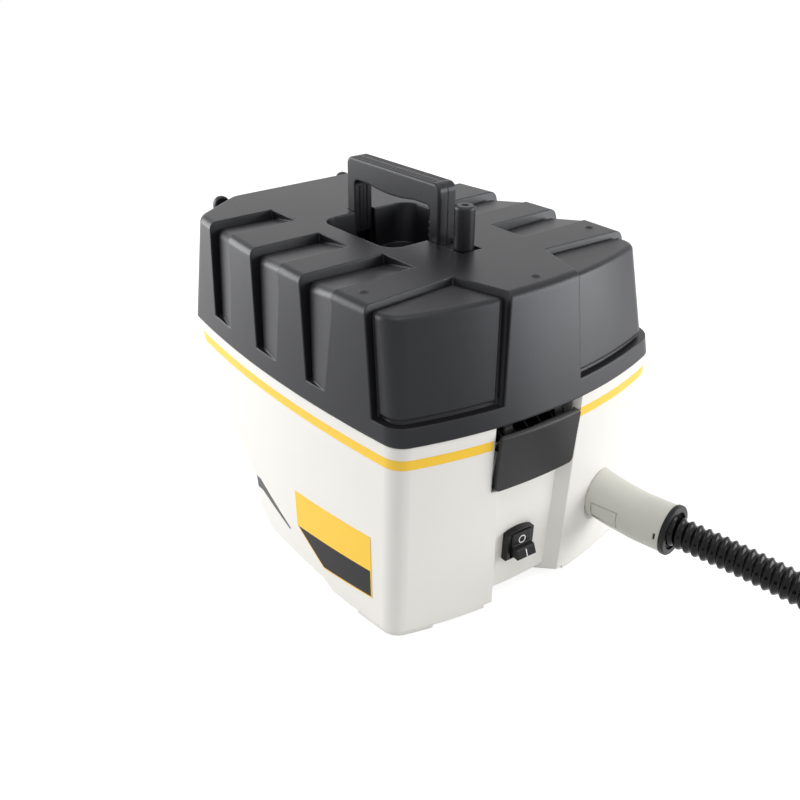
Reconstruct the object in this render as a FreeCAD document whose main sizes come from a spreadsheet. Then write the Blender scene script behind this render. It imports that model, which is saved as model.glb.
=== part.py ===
import FreeCAD, Part
import math
import os
import re
import Sketcher
from FreeCAD import Placement, Rotation, Vector

# Floor-standing turbine unit of a paint sprayer, in millimetres.
# +X is to the right of someone who faces the latch, the front faces -Y, +Z is up.
# The origin is on the floor, under the middle of the unit's length and width.

X_AXIS = Vector(1, 0, 0)
Y_AXIS = Vector(0, 1, 0)
Z_AXIS = Vector(0, 0, 1)

SIZES = {
    # overall
    "overall_length": 392.0,
    "rim_width": 295.0,
    "rim_shift": 2.5,
    "tub_height": 178.0,
    "lid_height": 94.5,
    # plan outline of the rim
    "latch_proud": 4.6,
    "hook_reach": 15.0,
    "front_bow_radius": 410.0,
    "side_bow_radius": 1137.0,
    "widest_from_front": 145.4,
    "front_left_radius": 18.0,
    "front_right_radius": 28.0,
    "rear_corner_radius": 20.0,
    "rear_flat_width": 140.0,
    "rear_chamfer_width": 63.0,
    "rear_chamfer_depth": 34.0,
    # tub
    "tub_wall": 3.0,
    "tub_inset": 0.7,
    "tub_side_draft": 1.5,
    "tub_front_lean": 5.5,
    "tub_floor": 6.0,
    "rim_gap": 0.3,
    "rear_step_in": 15.0,
    "underside_height": 5.0,
    "lip_height": 4.5,
    "lip_wall": 2.0,
    "pad_proud": 0.8,
    "pad_radius": 9.0,
    "pad_thickness": 3.0,
    "lip_gap": 1.6,
    "trim_depth": 2.0,
    "front_foot_width": 40.0,
    "front_foot_length": 68.0,
    # front recess and latch notch
    "recess_left": -62.0,
    "recess_right": 24.0,
    "recess_depth": 9.5,
    "notch_depth": 22.0,
    "latch_centre": -22.5,
    "latch_width": 81.0,
    "latch_height": 50.0,
    "latch_drop": 7.0,
    "latch_plate": 3.0,
    "latch_roll": 3.6,
    "latch_pin_radius": 2.0,
    "latch_pin_in": 10.4,
    "latch_pin_drop": 18.0,
    "latch_arm_width": 8.0,
    "latch_arm_apart": 54.0,
    # stripe and label
    "stripe_top_drop": 11.0,
    "stripe_height": 8.0,
    "film": 0.3,
    # lid
    "lid_wall": 3.0,
    "lid_left_draft": 10.5,
    "lid_right_draft": 5.5,
    "lid_front_draft": 22.0,
    "lid_rear_draft": 4.0,
    "lid_edge_radius": 7.0,
    "lid_top_corner_radius": 22.0,
    "block_depth": 4.5,
    "block_foot": 14.0,
    "left_block_x": -38.1,
    "right_block_x": 33.0,
    "left_block_lean": 0.22,
    "right_block_lean": 0.12,
    "groove_depth": 6.0,
    "groove_foot": 16.0,
    "step_lean": 0.22,
    "channel_wide": 4.0,
    "channel_deep": 2.5,
    # handle and peg
    "handle_length": 125.0,
    "handle_width": 19.0,
    "handle_rise": 48.5,
    "handle_centre_y": 9.7,
    "handle_post": 11.0,
    "handle_bar": 19.0,
    "handle_travel": 40.0,
    "handle_tail": 20.0,
    "slot_gap": 0.4,
    "peg_radius": 8.5,
    "peg_height": 35.5,
    "peg_y": -73.5,
    "peg_sink": 2.5,
    "pocket_half_width": 50.0,
    "pocket_depth": 36.0,
    "pocket_front_y": -41.0,
    "pocket_rear_y": 59.0,
    "pocket_corner_radius": 16.0,
    "pocket_slope": 0.16,
    "channel_width": 22.0,
    "cord_hook_x": 72.0,
    # hinge
    "hinge_pin_radius": 2.0,
    "hinge_knuckle_radius": 5.5,
    "hinge_behind": 5.0,
    "hinge_below": 4.0,
    "hinge_spacing": 90.0,
    "knuckle_width": 13.0,
    "ear_width": 5.0,
    "running_gap": 0.05,
    # tray and screws
    "tray_seat": 172.0,
    "tray_thickness": 2.5,
    "tray_depth": 35.0,
    "tray_half_width": 116.0,
    "tray_rear_y": 100.0,
    "boss_x": 125.0,
    "screw_radius": 2.0,
    # switch
    "switch_x": -25.7,
    "switch_height": 55.5,
    "bezel_width": 28.5,
    "bezel_height": 27.0,
    "bezel_proud": 6.0,
    "rocker_width": 20.0,
    "rocker_height": 21.8,
    "rocker_swing": 20.0,
    "rocker_pivot_depth": 1.8,
    "switch_depth": 25.0,
    "panel_hole_width": 22.6,
    "panel_hole_height": 25.4,
    # hose port, plug and hose
    "port_x": 69.0,
    "port_height": 59.4,
    "port_turn": 9.8,
    "port_bore_radius": 17.0,
    "port_sleeve_radius": 19.5,
    "spout_radius": 16.0,
    "plug_radius": 21.0,
    "plug_length": 69.5,
    "hose_seat": 31.0,
    "hose_radius": 13.5,
    "hose_bore_radius": 10.0,
    "hose_wound": 1469.0,
    "connector_radius": 16.0,
    # mains lead's gland
    "gland_x": 100.0,
    "gland_height": 38.0,
    "gland_radius": 8.0,
    # turbine
    "turbine_y": -72.0,
    "turbine_radius": 66.0,
    "turbine_base": 28.0,
    "turbine_height": 50.0,
    "turbine_wall": 2.5,
    "inlet_radius": 20.0,
    "impeller_radius": 56.0,
    "impeller_height": 9.0,
    "motor_radius": 42.0,
    "motor_height": 50.0,
    "rotor_radius": 25.8,
    "mount_circle": 74.0,
    "mount_radius": 7.0,
    "post_top": 19.0,
    "shaft_radius": 4.0,
    "bearing_radius": 11.0,
    "bearing_height": 7.0,
}

doc = FreeCAD.newDocument("turbine_unit")
sheet = doc.addObject("Spreadsheet::Sheet", "Sizes")
for row, (alias, value) in enumerate(SIZES.items(), start=1):
    sheet.set("A%d" % row, alias)
    sheet.set("B%d" % row, str(value))
    sheet.setAlias("B%d" % row, alias)
doc.recompute()


def size(alias):
    return float(sheet.get(alias))


# ---------------------------------------------------------------- plan outlines

def circle_curve(x, y, radius):
    return Part.Circle(Vector(x, y, 0), Z_AXIS, radius)


def line_curve(first, second):
    return Part.Line(Vector(*first, 0), Vector(*second, 0))


def moved_in(curve, inset):
    """The same curve, moved towards the middle of the outline."""
    if isinstance(curve, Part.Circle):
        return Part.Circle(curve.Center, Z_AXIS, curve.Radius - inset)
    point = curve.Location
    normal = Z_AXIS.cross(curve.Direction)
    if normal.dot(point) > 0:
        normal = -normal
    return Part.Line(point + normal * inset, point + normal * inset + curve.Direction)


def crossing(first, second, near):
    points = [Vector(p.X, p.Y, 0) for p in first.intersect(second)]
    return min(points, key=lambda p: p.distanceToPoint(near))


def outline_wire(curves, corners, guesses, inset, height):
    """A closed wire of arcs and lines, in order, with a tangent arc at every corner.

    corners holds the radius between each curve and the next, guesses a point near it."""
    curves = [moved_in(curve, inset) for curve in curves]
    rounds = []
    for place, curve in enumerate(curves):
        following = curves[(place + 1) % len(curves)]
        radius = max(corners[place] - inset, 1.0)
        sharp = crossing(curve, following, guesses[place])
        centre = crossing(moved_in(curve, radius), moved_in(following, radius), sharp)
        start = curve.projectPoint(centre, "NearestPoint")
        end = following.projectPoint(centre, "NearestPoint")
        middle = centre + (sharp - centre).normalize() * radius
        rounds.append((start, middle, end))
    edges = []
    for place, curve in enumerate(curves):
        start = rounds[place - 1][2]
        end = rounds[place][0]
        if isinstance(curve, Part.Circle):
            halfway = ((start + end) * 0.5 - curve.Center).normalize() * curve.Radius + curve.Center
            edges.append(Part.Arc(start, halfway, end).toShape())
        else:
            edges.append(Part.LineSegment(start, end).toShape())
        edges.append(Part.Arc(*rounds[place]).toShape())
    wire = Part.Wire(edges)
    wire.translate(Vector(0, 0, height))
    return wire


FRONT_Y = -size("overall_length") / 2 + size("latch_proud")
REAR_Y = size("overall_length") / 2 - size("hook_reach")
WIDEST_Y = FRONT_Y + size("widest_from_front")
RIM_TOP = size("tub_height")
LID_TOP = RIM_TOP + size("lid_height")


def plan(sides_in, front_y, rear_y, chamfer_shift, front_corners, rear_corner, inset, height):
    """The rim's outline, or one like it: bowed front and sides, a flat rear with cut corners.

    sides_in says how far the left and the right side stand in from the rim's widest line."""
    left = -size("rim_width") / 2 - size("rim_shift") + sides_in[0]
    right = size("rim_width") / 2 - size("rim_shift") - sides_in[1]
    flat = size("rear_flat_width") / 2
    side = size("side_bow_radius")
    far = (flat + size("rear_chamfer_width"), rear_y - size("rear_chamfer_depth") - chamfer_shift)
    curves = [
        circle_curve(0, front_y + size("front_bow_radius"), size("front_bow_radius")),
        circle_curve(right - side, WIDEST_Y, side),
        line_curve(far, (flat, rear_y)),
        line_curve((flat, rear_y), (-flat, rear_y)),
        line_curve((-flat, rear_y), (-far[0], far[1])),
        circle_curve(left + side, WIDEST_Y, side),
    ]
    front_left, front_right = front_corners
    corners = [front_right, rear_corner, rear_corner, rear_corner, rear_corner, front_left]
    guesses = [
        Vector(right, front_y, 0),
        Vector(*far, 0),
        Vector(flat, rear_y, 0),
        Vector(-flat, rear_y, 0),
        Vector(-far[0], far[1], 0),
        Vector(left, front_y, 0),
    ]
    return outline_wire(curves, corners, guesses, inset, height)


FRONT_CORNERS = (size("front_left_radius"), size("front_right_radius"))


def rim_plan(inset, height):
    return plan((0, 0), FRONT_Y, REAR_Y, 0, FRONT_CORNERS, size("rear_corner_radius"), inset, height)


def block(x0, x1, y0, y1, z0, z1):
    return Part.makeBox(x1 - x0, y1 - y0, z1 - z0, Vector(x0, y0, z0))


def prism(points, axis, start, length):
    """A polygon drawn across an axis and drawn out along it.

    Its points are (y, z) for the X axis, (x, z) for Y and (x, y) for Z."""
    if axis is X_AXIS:
        corners = [Vector(start, a, b) for a, b in points]
    elif axis is Y_AXIS:
        corners = [Vector(a, start, b) for a, b in points]
    else:
        corners = [Vector(a, b, start) for a, b in points]
    return Part.Face(Part.makePolygon(corners + corners[:1])).extrude(axis * length)


def rod(radius, start, end):
    return Part.makeCylinder(radius, (end - start).Length, start, end - start)


# ---------------------------------------------------------------- tub

LEAN_TOP = RIM_TOP - 20.0
SLANT = (40.0, 67.0)
SLANT_SLOPE = 0.714
LOW_WALL_Y = 31.0
REAR_RAISE = 12.0


def tub_plan(share, inset, height):
    """The tub's outline at a share of the way down from the rim: 0 at the rim, 1 at the floor."""
    rear_in = size("rear_step_in") if share > 0 else 0
    side_in = size("tub_inset") + size("tub_side_draft") * share
    return plan((side_in, side_in), FRONT_Y + size("tub_inset") + size("tub_front_lean") * share,
                REAR_Y - size("tub_inset") - rear_in, 0,
                FRONT_CORNERS, size("rear_corner_radius"), inset, height)


def tub_profile():
    """The tub seen from its side, as (y, z): raised behind, with a slanted rear wall."""
    low = size("underside_height")
    return [
        (-260, low), (-88, low), (-88 + REAR_RAISE + 4, REAR_RAISE), (8, REAR_RAISE + 5),
        (LOW_WALL_Y - 4, 30), (LOW_WALL_Y, 60), SLANT,
        (SLANT[0] + 180, SLANT[1] + 180 * SLANT_SLOPE), (-260, SLANT[1] + 180 * SLANT_SLOPE),
    ]


def tub_form(inset):
    """The tub's outer surface as a solid, with every wall moved in by the inset."""
    top = RIM_TOP - size("rim_gap")
    lean_share = (RIM_TOP - LEAN_TOP) / RIM_TOP
    sections = [
        tub_plan(0, inset, top),
        tub_plan(lean_share, inset, LEAN_TOP),
        tub_plan(1, inset, 0),
    ]
    walls = Part.makeLoft(sections, True, True)
    side = Part.Face(Part.makePolygon([Vector(0, y, z) for y, z in tub_profile() + tub_profile()[:1]]))
    if inset:
        side = Part.Face(side.OuterWire.makeOffset2D(-inset, 2, False, False, False))
    side.translate(Vector(-250, 0, 0))
    return walls.common(side.extrude(X_AXIS * 500))


def recess_prism(margin):
    """The region of the front recess, with slanted side walls."""
    left = size("recess_left") - margin
    right = size("recess_right") + margin
    return prism([(left - 20, FRONT_Y - 18), (right + 20, FRONT_Y - 18),
                  (right - 24, FRONT_Y + 26), (left + 24, FRONT_Y + 26)], Z_AXIS, -5, RIM_TOP + 10)


def notch_box(margin):
    """The pocket that the latch works in."""
    half = size("latch_width") / 2 + 1.5 + margin
    bottom = RIM_TOP - size("latch_drop") - size("latch_height") - 1 - margin
    return block(size("latch_centre") - half, size("latch_centre") + half,
                 FRONT_Y - 20, FRONT_Y + size("notch_depth") + margin, bottom, RIM_TOP + 20)


# ---------------------------------------------------------------- lid

def lid_form(inset):
    """The lid's outer surface as a solid with a rounded top edge, every wall moved in by the inset."""
    corner = size("lid_top_corner_radius")
    bottom = rim_plan(inset, RIM_TOP)
    top = plan((size("lid_left_draft"), size("lid_right_draft")), FRONT_Y + size("lid_front_draft"),
               REAR_Y - size("lid_rear_draft"), 8, (corner, corner), corner, inset, LID_TOP - inset)
    solid = Part.makeLoft([bottom, top], True, True)
    rim = [edge for edge in solid.Edges if edge.BoundBox.ZMin > LID_TOP - inset - 0.5]
    return solid.makeFillet(max(size("lid_edge_radius") - inset / 2, 1.0), rim)


def leaning_region(outline, foot, lean):
    """A region below an outline on the lid's top, which leans forward, and sideways, going down."""
    top = LID_TOP + 1
    corners = [Vector(x, y, top) for x, y in outline]
    face = Part.Face(Part.makePolygon(corners + corners[:1]))
    return face.extrude(Vector(-lean, -size("step_lean"), -1) * (top - foot))


def corner_block_region(side, margin):
    """The region of a sunk front corner, from the front ridge round to the side."""
    edge = size("left_block_x") if side < 0 else size("right_block_x")
    lean = size("left_block_lean") if side < 0 else size("right_block_lean")
    inner = edge - side * margin
    rear = FRONT_Y + 75.5 + margin
    far = FRONT_Y - 20
    outline = [(side * (49.4 - margin), rear), (inner, FRONT_Y + 27.4), (inner, far),
               (side * 200, far), (side * 200, rear - 9)]
    return leaning_region(outline, RIM_TOP + size("block_foot") - margin, lean)


SIDE_GROOVES = [(73.0, 113.0, 65.0), (-12.0, 32.0, 69.0), (-83.0, -43.0, 59.0)]


def side_groove_region(side, front, rear, inner, margin):
    """The region of one shallow step in the lid's top and side; it ends before the rim."""
    near = side * (inner - margin)
    outline = [(near, front - margin), (side * 200, front - margin),
               (side * 200, rear + margin), (near, rear + margin)]
    return leaning_region(outline, RIM_TOP + size("groove_foot") - margin, 0)


def sunk_corner(side, inset):
    """What is taken off a front corner: a shallow panel with a deeper channel round it."""
    depth = inset + size("block_depth")
    panel = corner_block_region(side, inset)
    channel = panel.cut(corner_block_region(side, -size("channel_wide") - inset))
    return [panel.cut(lid_form(depth)), channel.cut(lid_form(depth + size("channel_deep")))]


def side_step(form, side, groove, inset):
    """What is taken off for a step that fades towards the front, with a channel at its rear."""
    front, rear, inner = groove
    fade = math.degrees(math.atan(size("groove_depth") / (rear - front)))
    turned = form.copy()
    hinge_point = Vector(side * (size("rim_width") / 2 - 8), front, LID_TOP - inset)
    turned.rotate(hinge_point, X_AXIS, -fade)
    turned.rotate(hinge_point, Z_AXIS, side * fade)
    turned.translate(Vector(-side * 0.6, 0, -0.6))
    panel = side_groove_region(side, front, rear, inner, inset).cut(turned)
    turned.translate(Vector(-side, 0, -1) * size("channel_deep"))
    start = rear - size("channel_wide")
    return [panel, side_groove_region(side, start, rear, inner, inset).cut(turned)]


def lid_with_steps(inset):
    """The lid's form with its sunk corners and the steps in its top and sides."""
    form = lid_form(inset)
    tools = []
    for side in (-1, 1):
        tools += sunk_corner(side, inset)
        for groove in SIDE_GROOVES:
            tools += side_step(form, side, groove, inset)
    return form.cut(tools)


# ---------------------------------------------------------------- document objects

SUBPARTS = []


def bound(text):
    """An expression whose names are read from the sheet."""
    return re.sub(r"[a-z_]+", lambda m: "Sizes." + m[0] if m[0] in SIZES else m[0], str(text))


def keep(label, thing):
    """Counts an object as a sub-part, under the name of its file."""
    thing.Label = label
    SUBPARTS.append(thing)
    return thing


def shell_part(label, shape):
    """A sub-part whose shape is worked out from the outlines above."""
    thing = doc.addObject("Part::Feature", label)
    thing.Shape = shape
    return keep(label, thing)


def placed(thing, x=0, y=0, z=0, turn=None):
    """Puts an object at a place given by expressions, and turns it."""
    thing.Placement = Placement(Vector(0, 0, 0), turn or Rotation())
    for axis, place in zip("xyz", (x, y, z)):
        thing.setExpression("Placement.Base." + axis, bound(place))
    return thing


def sketch_on(body, role, outline):
    """A closed outline of straight lines on one of the body's planes, bound to the sheet."""
    sketch = body.newObject("Sketcher::SketchObject", body.Name + "_outline")
    plane = [f for f in body.Origin.OriginFeatures if f.Role == role][0]
    sketch.AttachmentSupport = [(plane, "")]
    sketch.MapMode = "FlatFace"
    count = len(outline)
    turns = [2 * math.pi * k / count for k in range(count)]
    points = [Vector(math.cos(turn), math.sin(turn), 0) for turn in turns]
    for k in range(count):
        sketch.addGeometry(Part.LineSegment(points[k], points[(k + 1) % count]), False)
    for k in range(count):
        sketch.addConstraint(Sketcher.Constraint("Coincident", k, 2, (k + 1) % count, 1))
    for k, place in enumerate(outline):
        for kind, value, start in zip(("DistanceX", "DistanceY"), place, (points[k].x, points[k].y)):
            row = sketch.addConstraint(Sketcher.Constraint(kind, -1, 1, k, 1, start))
            sketch.setExpression("Constraints[%d]" % row, bound(value))
    return sketch


def turned(name, outline):
    """A turned piece: an outline of (radius, height) taken round the Z axis."""
    body = doc.addObject("PartDesign::Body", name)
    sketch = sketch_on(body, "XZ_Plane", outline)
    turning = body.newObject("PartDesign::Revolution", name + "_turned")
    turning.Profile = sketch
    turning.ReferenceAxis = (sketch, ["V_Axis"])
    turning.Angle = 360
    sketch.Visibility = False
    return body


def padded(name, role, outline, length, both_ways=False):
    """An outline on a plane, drawn out by a length."""
    body = doc.addObject("PartDesign::Body", name)
    pad = body.newObject("PartDesign::Pad", name + "_pad")
    pad.Profile = sketch_on(body, role, outline)
    pad.setExpression("Length", bound(length))
    pad.Midplane = both_ways
    return body


def ring_outline(inner, outer, low, high):
    return [(inner, low), (outer, low), (outer, high), (inner, high)]


def stepped_pin(radius, length, head_radius, head_height):
    """A shank below the origin and a head above it."""
    return [(0, "-(%s)" % length), (radius, "-(%s)" % length), (radius, 0), (head_radius, 0),
            (head_radius, head_height), (0, head_height)]


def box_outline(x0, x1, y0, y1):
    return [(x0, y0), (x1, y0), (x1, y1), (x0, y1)]


def group(label, members):
    """Equal loose pieces that share one sub-part."""
    compound = doc.addObject("Part::Compound", label)
    compound.Links = members
    return keep(label, compound)


def cut_from(name, base, tools):
    """A piece with others taken out of it."""
    thing = base
    for number, tool in enumerate(tools):
        result = doc.addObject("Part::Cut", "%s_cut_%d" % (name, number))
        result.Base = thing
        result.Tool = tool
        thing = result
    return thing


def joined(name, pieces):
    fusion = doc.addObject("Part::MultiFuse", name)
    fusion.Shapes = pieces
    return fusion

# ---------------------------------------------------------------- places that several pieces share

LATCH_X = size("latch_centre")
NOTCH_BACK_Y = FRONT_Y + size("notch_depth")
LATCH_PIN = Vector(LATCH_X, FRONT_Y + size("latch_pin_in"), RIM_TOP - size("latch_pin_drop"))
HINGE_Y = REAR_Y + size("hinge_behind")
HINGE_Z = RIM_TOP - size("hinge_below")
TURBINE = Vector(0, size("turbine_y"), 0)


def front_at(x, height):
    """Where the tub's front wall is, across from the middle and up from the floor."""
    lean = size("tub_front_lean") * (RIM_TOP - height) / RIM_TOP
    radius = size("front_bow_radius")
    return FRONT_Y + size("tub_inset") + lean + radius - math.sqrt(radius ** 2 - x ** 2)


def upright_bore(radius, x, y, low, high):
    return rod(radius, Vector(x, y, low), Vector(x, y, high))


PORT = Vector(size("port_x"), front_at(size("port_x"), size("port_height")), size("port_height"))
PORT_TURN = Rotation(Z_AXIS, size("port_turn")) * Rotation(X_AXIS, 90)
PORT_WAY = PORT_TURN.multVec(Z_AXIS)
PORT_PLACE = Placement(PORT, PORT_TURN)

SWITCH_Y = front_at(size("switch_x"), size("switch_height")) + size("recess_depth")
SWITCH_TURN = (Rotation(Z_AXIS, math.degrees(math.asin(size("switch_x") / size("front_bow_radius"))))
               * Rotation(X_AXIS, math.degrees(math.atan(size("tub_front_lean") / RIM_TOP))))
SWITCH_PLACE = Placement(Vector(size("switch_x"), SWITCH_Y, size("switch_height")), SWITCH_TURN)

GLAND_TILT = math.degrees(math.atan(4 / 30))
GLAND_PLACE = Placement(Vector(size("gland_x"), LOW_WALL_Y - 4 + (size("gland_height") - 30) * 4 / 30,
                               size("gland_height")), Rotation(X_AXIS, -90 - GLAND_TILT))
MOUNT_TURNS = [30, 150, 270]
MOUNTS = [TURBINE + Rotation(Z_AXIS, turn).multVec(Vector(size("mount_circle"), 0, 0))
          for turn in MOUNT_TURNS]
TRAY_BOSSES = [(side * size("boss_x"), WIDEST_Y + y) for side in (-1, 1) for y in (-34, 46, 126)]
HINGES = [side * size("hinge_spacing") / 2 for side in (-1, 1)]
FEET = [(side * (size("rim_width") / 2 - 22) - size("rim_shift"), FRONT_Y + 51.4) for side in (-1, 1)]
FEET += [(-105, 5), (105, 5)]
HOOKS = [side * size("cord_hook_x") for side in (-1, 1)]


# ---------------------------------------------------------------- tub and what is let into it

def at_port(shape):
    """Moves a shape made round the Z axis into the hose port, which faces along it."""
    shape.Placement = PORT_PLACE.multiply(shape.Placement)
    return shape


def low_wall_y(height):
    """Where the upright rear wall of the low part is, at a height."""
    return LOW_WALL_Y - 4 + (height - 30) * 4 / 30


def trim_region():
    """The side wedges and the rear panel that the intake trim fills, seen from the side."""
    wedge = prism([(-26, 36), (-24, 34.5), (20, 51), (60, 51), (60, 61.5), (24, 61.5)],
                  X_AXIS, -200, 400)
    panel = block(-62, 62, 0, 60, 31, 61.5)
    return wedge.fuse(panel)


FILTER_DOOR = (-48.0, 48.0, 34.0, 57.0)


def filter_window(margin):
    left, right, low, high = FILTER_DOOR
    return block(left + margin, right - margin, 10, 80, low + margin, high - margin)


def hinge_ear(x):
    """One of the tub's plates that hold a hinge pin."""
    half = size("ear_width") / 2
    barrel = rod(size("hinge_knuckle_radius"), Vector(x - half, HINGE_Y, HINGE_Z),
                 Vector(x + half, HINGE_Y, HINGE_Z))
    web = prism([(HINGE_Y - 12, HINGE_Z - 6.5), (HINGE_Y, HINGE_Z - size("hinge_knuckle_radius")),
                 (HINGE_Y + 2, HINGE_Z + 3.5), (HINGE_Y - 10, HINGE_Z + 3.5)],
                X_AXIS, x - half, size("ear_width"))
    return barrel.fuse(web)


def locating_lip():
    """The rim that stands up inside the lid and keeps it in line."""
    gap = size("lip_gap")
    outer = size("lid_wall") - size("tub_inset") + gap
    inner = outer + size("lip_wall")
    top = RIM_TOP + size("lip_height")
    low = RIM_TOP - 8
    step = RIM_TOP - size("rim_gap")
    standing = Part.Face(tub_plan(0, outer, low)).extrude(Z_AXIS * (top - low))
    seat = Part.Face(tub_plan(0, outer - 1, low)).extrude(Z_AXIS * (step - low)).common(tub_form(0))
    hollow = Part.Face(tub_plan(0, inner, low - 1)).extrude(Z_AXIS * (top - low + 2))
    return standing.fuse(seat).cut([hollow, notch_box(size("tub_wall") + 1)])


def tub_additions(outer):
    """What stands out from the tub's walls and floor."""
    floor = size("underside_height") + size("tub_floor")
    pieces = [locating_lip()]
    foot = Part.Face(tub_plan(1, 1.5, size("pad_proud"))).extrude(Z_AXIS * floor)
    rear = FRONT_Y + size("front_foot_length") + 6
    for side in (-1, 1):
        left, right = sorted([side * (size("rim_width") / 2 - size("front_foot_width")), side * 200])
        pieces.append(foot.common(block(left, right, FRONT_Y - 20, rear, 0, floor)))
    for x, y in FEET[2:]:
        pieces.append(upright_bore(12, x, y, size("pad_proud"), 24))
    for x, y in TRAY_BOSSES:
        wall_side = math.copysign(200, x)
        left, right = sorted([x - math.copysign(6, x), wall_side])
        pieces.append(block(left, right, y - 6, y + 6, size("tray_seat") - 16, size("tray_seat"))
                      .common(outer))
    for place in HINGES:
        for side in (-1, 1):
            pieces.append(hinge_ear(place + side * (size("knuckle_width") + size("ear_width") + 1) / 2))
    for mount in MOUNTS:
        pieces.append(upright_bore(size("mount_radius"), mount.x, mount.y, floor - 3, size("post_top")))
    pieces.append(block(-108, -80, -75, -45, floor - 1, floor + 6))
    return pieces


def tub_openings():
    """What is cut through the tub's walls and into its feet."""
    pieces = [filter_window(4)]
    trim = trim_region().common(tub_form(-1)).cut(tub_form(size("trim_depth")))
    pieces.append(trim)
    panel = block(-size("panel_hole_width") / 2, size("panel_hole_width") / 2, -20, 12,
                  -size("panel_hole_height") / 2, size("panel_hole_height") / 2)
    panel.Placement = SWITCH_PLACE.multiply(panel.Placement)
    pieces.append(panel)
    pieces.append(at_port(upright_bore(size("port_sleeve_radius") + 0.1, 0, 0, -20, 20)))
    gland = rod(size("gland_radius") + 0.05, Vector(0, 0, -20), Vector(0, 0, 20))
    gland.Placement = GLAND_PLACE.multiply(gland.Placement)
    pieces.append(gland)
    pieces.append(block(size("recess_left"), size("recess_right") + 3, FRONT_Y - 10, FRONT_Y + 90,
                        0, size("underside_height") + 3))
    for x, y in TRAY_BOSSES:
        pieces.append(upright_bore(size("screw_radius") + 0.05, x, y, size("tray_seat") - 12, RIM_TOP))
    for mount in MOUNTS:
        pieces.append(upright_bore(size("screw_radius") + 0.05, mount.x, mount.y,
                                   size("post_top") - 7, size("post_top") + 5))
    for x, y in FEET:
        pieces.append(upright_bore(size("pad_radius") + 0.1, x, y, 0, size("pad_thickness")))
    for place in HINGES:
        reach = size("knuckle_width") / 2 + size("ear_width") + 3
        pieces.append(rod(size("hinge_pin_radius") + size("running_gap"),
                          Vector(place - reach, HINGE_Y, HINGE_Z), Vector(place + reach, HINGE_Y, HINGE_Z)))
    half = size("latch_width") / 2 + 1.5
    for side in (-1, 1):
        pieces.append(rod(size("latch_pin_radius") + size("running_gap"),
                          LATCH_PIN + X_AXIS * side * (half - 3),
                          LATCH_PIN + X_AXIS * side * (half + 2)))
    return pieces


def base_housing():
    """The white tub: one moulded shell, open at the top."""
    wall = size("tub_wall")
    sunk = size("recess_depth")
    floor = size("underside_height") + size("tub_floor")
    outer = tub_form(0).cut([recess_prism(0).cut(tub_form(sunk)), notch_box(0)])
    inner = tub_form(wall).cut([recess_prism(wall).cut(tub_form(sunk + wall)), notch_box(wall),
                                block(-200, 200, -260, -60, 0, floor)])
    shell = outer.cut(inner).fuse(tub_additions(outer)).cut(tub_openings())
    return shell_part("base_housing", shell.removeSplitter())


def rear_intake_trim():
    """The grey band round the rear, with a tapered end on each side and a window for the filter."""
    band = trim_region().common(tub_form(0)).cut([tub_form(size("trim_depth")), filter_window(0)])
    return shell_part("rear_intake_trim", band)


def filter_cover():
    """The louvred cover, flush in its window, which lifts off to reach the filter."""
    plate = filter_window(size("slot_gap")).common(tub_form(0)).cut(tub_form(size("trim_depth")))
    slots = [block(side * 24 - 20, side * 24 + 20, 10, 80, low, low + 1.8)
             for side in (-1, 1) for low in (37.5, 41.5, 45.5, 49.5, 53.0)]
    return shell_part("filter_cover", plate.cut(slots))


def air_filter():
    """The foam block behind the cover."""
    rear = size("trim_depth") + 0.3
    slab = prism([(low_wall_y(38) - 16, 38.5), (low_wall_y(38.5) - rear, 38.5),
                  (low_wall_y(52.5) - rear, 52.5), (low_wall_y(52.5) - 16, 52.5)], X_AXIS, -43.5, 87)
    return shell_part("air_filter", slab)


def film(region, label):
    """A thin film on the outside of the tub's wall."""
    return shell_part(label, region.common(tub_form(-size("film"))).cut(tub_form(0)))


def stripe_tape():
    top = RIM_TOP - size("stripe_top_drop")
    band = block(-200, 200, -250, 250, top - size("stripe_height"), top)
    gap = block(size("recess_left") - 4.5, size("recess_right"), FRONT_Y - 20, FRONT_Y + 60,
                top - 50, top + 10)
    return film(band.cut(gap), "stripe_tape")


def side_label():
    outline = [(-36.6, 81), (-136.5, 87.6), (-137.5, 29), (-75, 22.5), (-37.5, 46.5)]
    return film(prism(outline, X_AXIS, -200, 150), "side_label")


def storage_tray():
    """The tray under the lid: a flange on the tub's bosses and a deep pocket with one divider."""
    seat = size("tray_seat")
    thick = size("tray_thickness")
    flange = block(-200, 200, NOTCH_BACK_Y + 8, 250, seat, seat + thick)
    flange = flange.common(tub_form(size("lid_wall") - size("tub_inset") + size("lip_gap")
                                    + size("lip_wall") + 0.5))
    floor = seat - size("tray_depth")

    def pocket(inset, bottom, top):
        corner = 15 - inset
        x = size("tray_half_width") - inset
        front = NOTCH_BACK_Y + 19 + inset
        rear = size("tray_rear_y") - inset
        box = block(-x, x, front, rear, bottom, top)
        upright = [e for e in box.Edges if e.BoundBox.ZLength > 1]
        return box.makeFillet(corner, upright)

    body = flange.fuse(pocket(0, floor, seat + thick)).cut(pocket(thick, floor + thick, seat + 20))
    divider = block(-size("tray_half_width") + 1, size("tray_half_width") - 1, 20, 22,
                    floor + 1, floor + 22)
    body = body.fuse(divider)
    holes = [upright_bore(size("screw_radius") + 0.1, x, y, seat - 5, seat + 9) for x, y in TRAY_BOSSES]
    return shell_part("storage_tray", body.cut(holes))


# ---------------------------------------------------------------- latch

def bowed_plate(low, high, low_proud, high_proud, thickness):
    """A plate parallel to the rim's front bow, standing further out at its top."""
    radius = size("front_bow_radius")
    foot = Vector(0, FRONT_Y + radius, low)
    outer = Part.makeCone(radius + low_proud, radius + high_proud, high - low, foot)
    inner = Part.makeCone(radius + low_proud - thickness, radius + high_proud - thickness,
                          high - low, foot)
    return outer.cut(inner), outer


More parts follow.
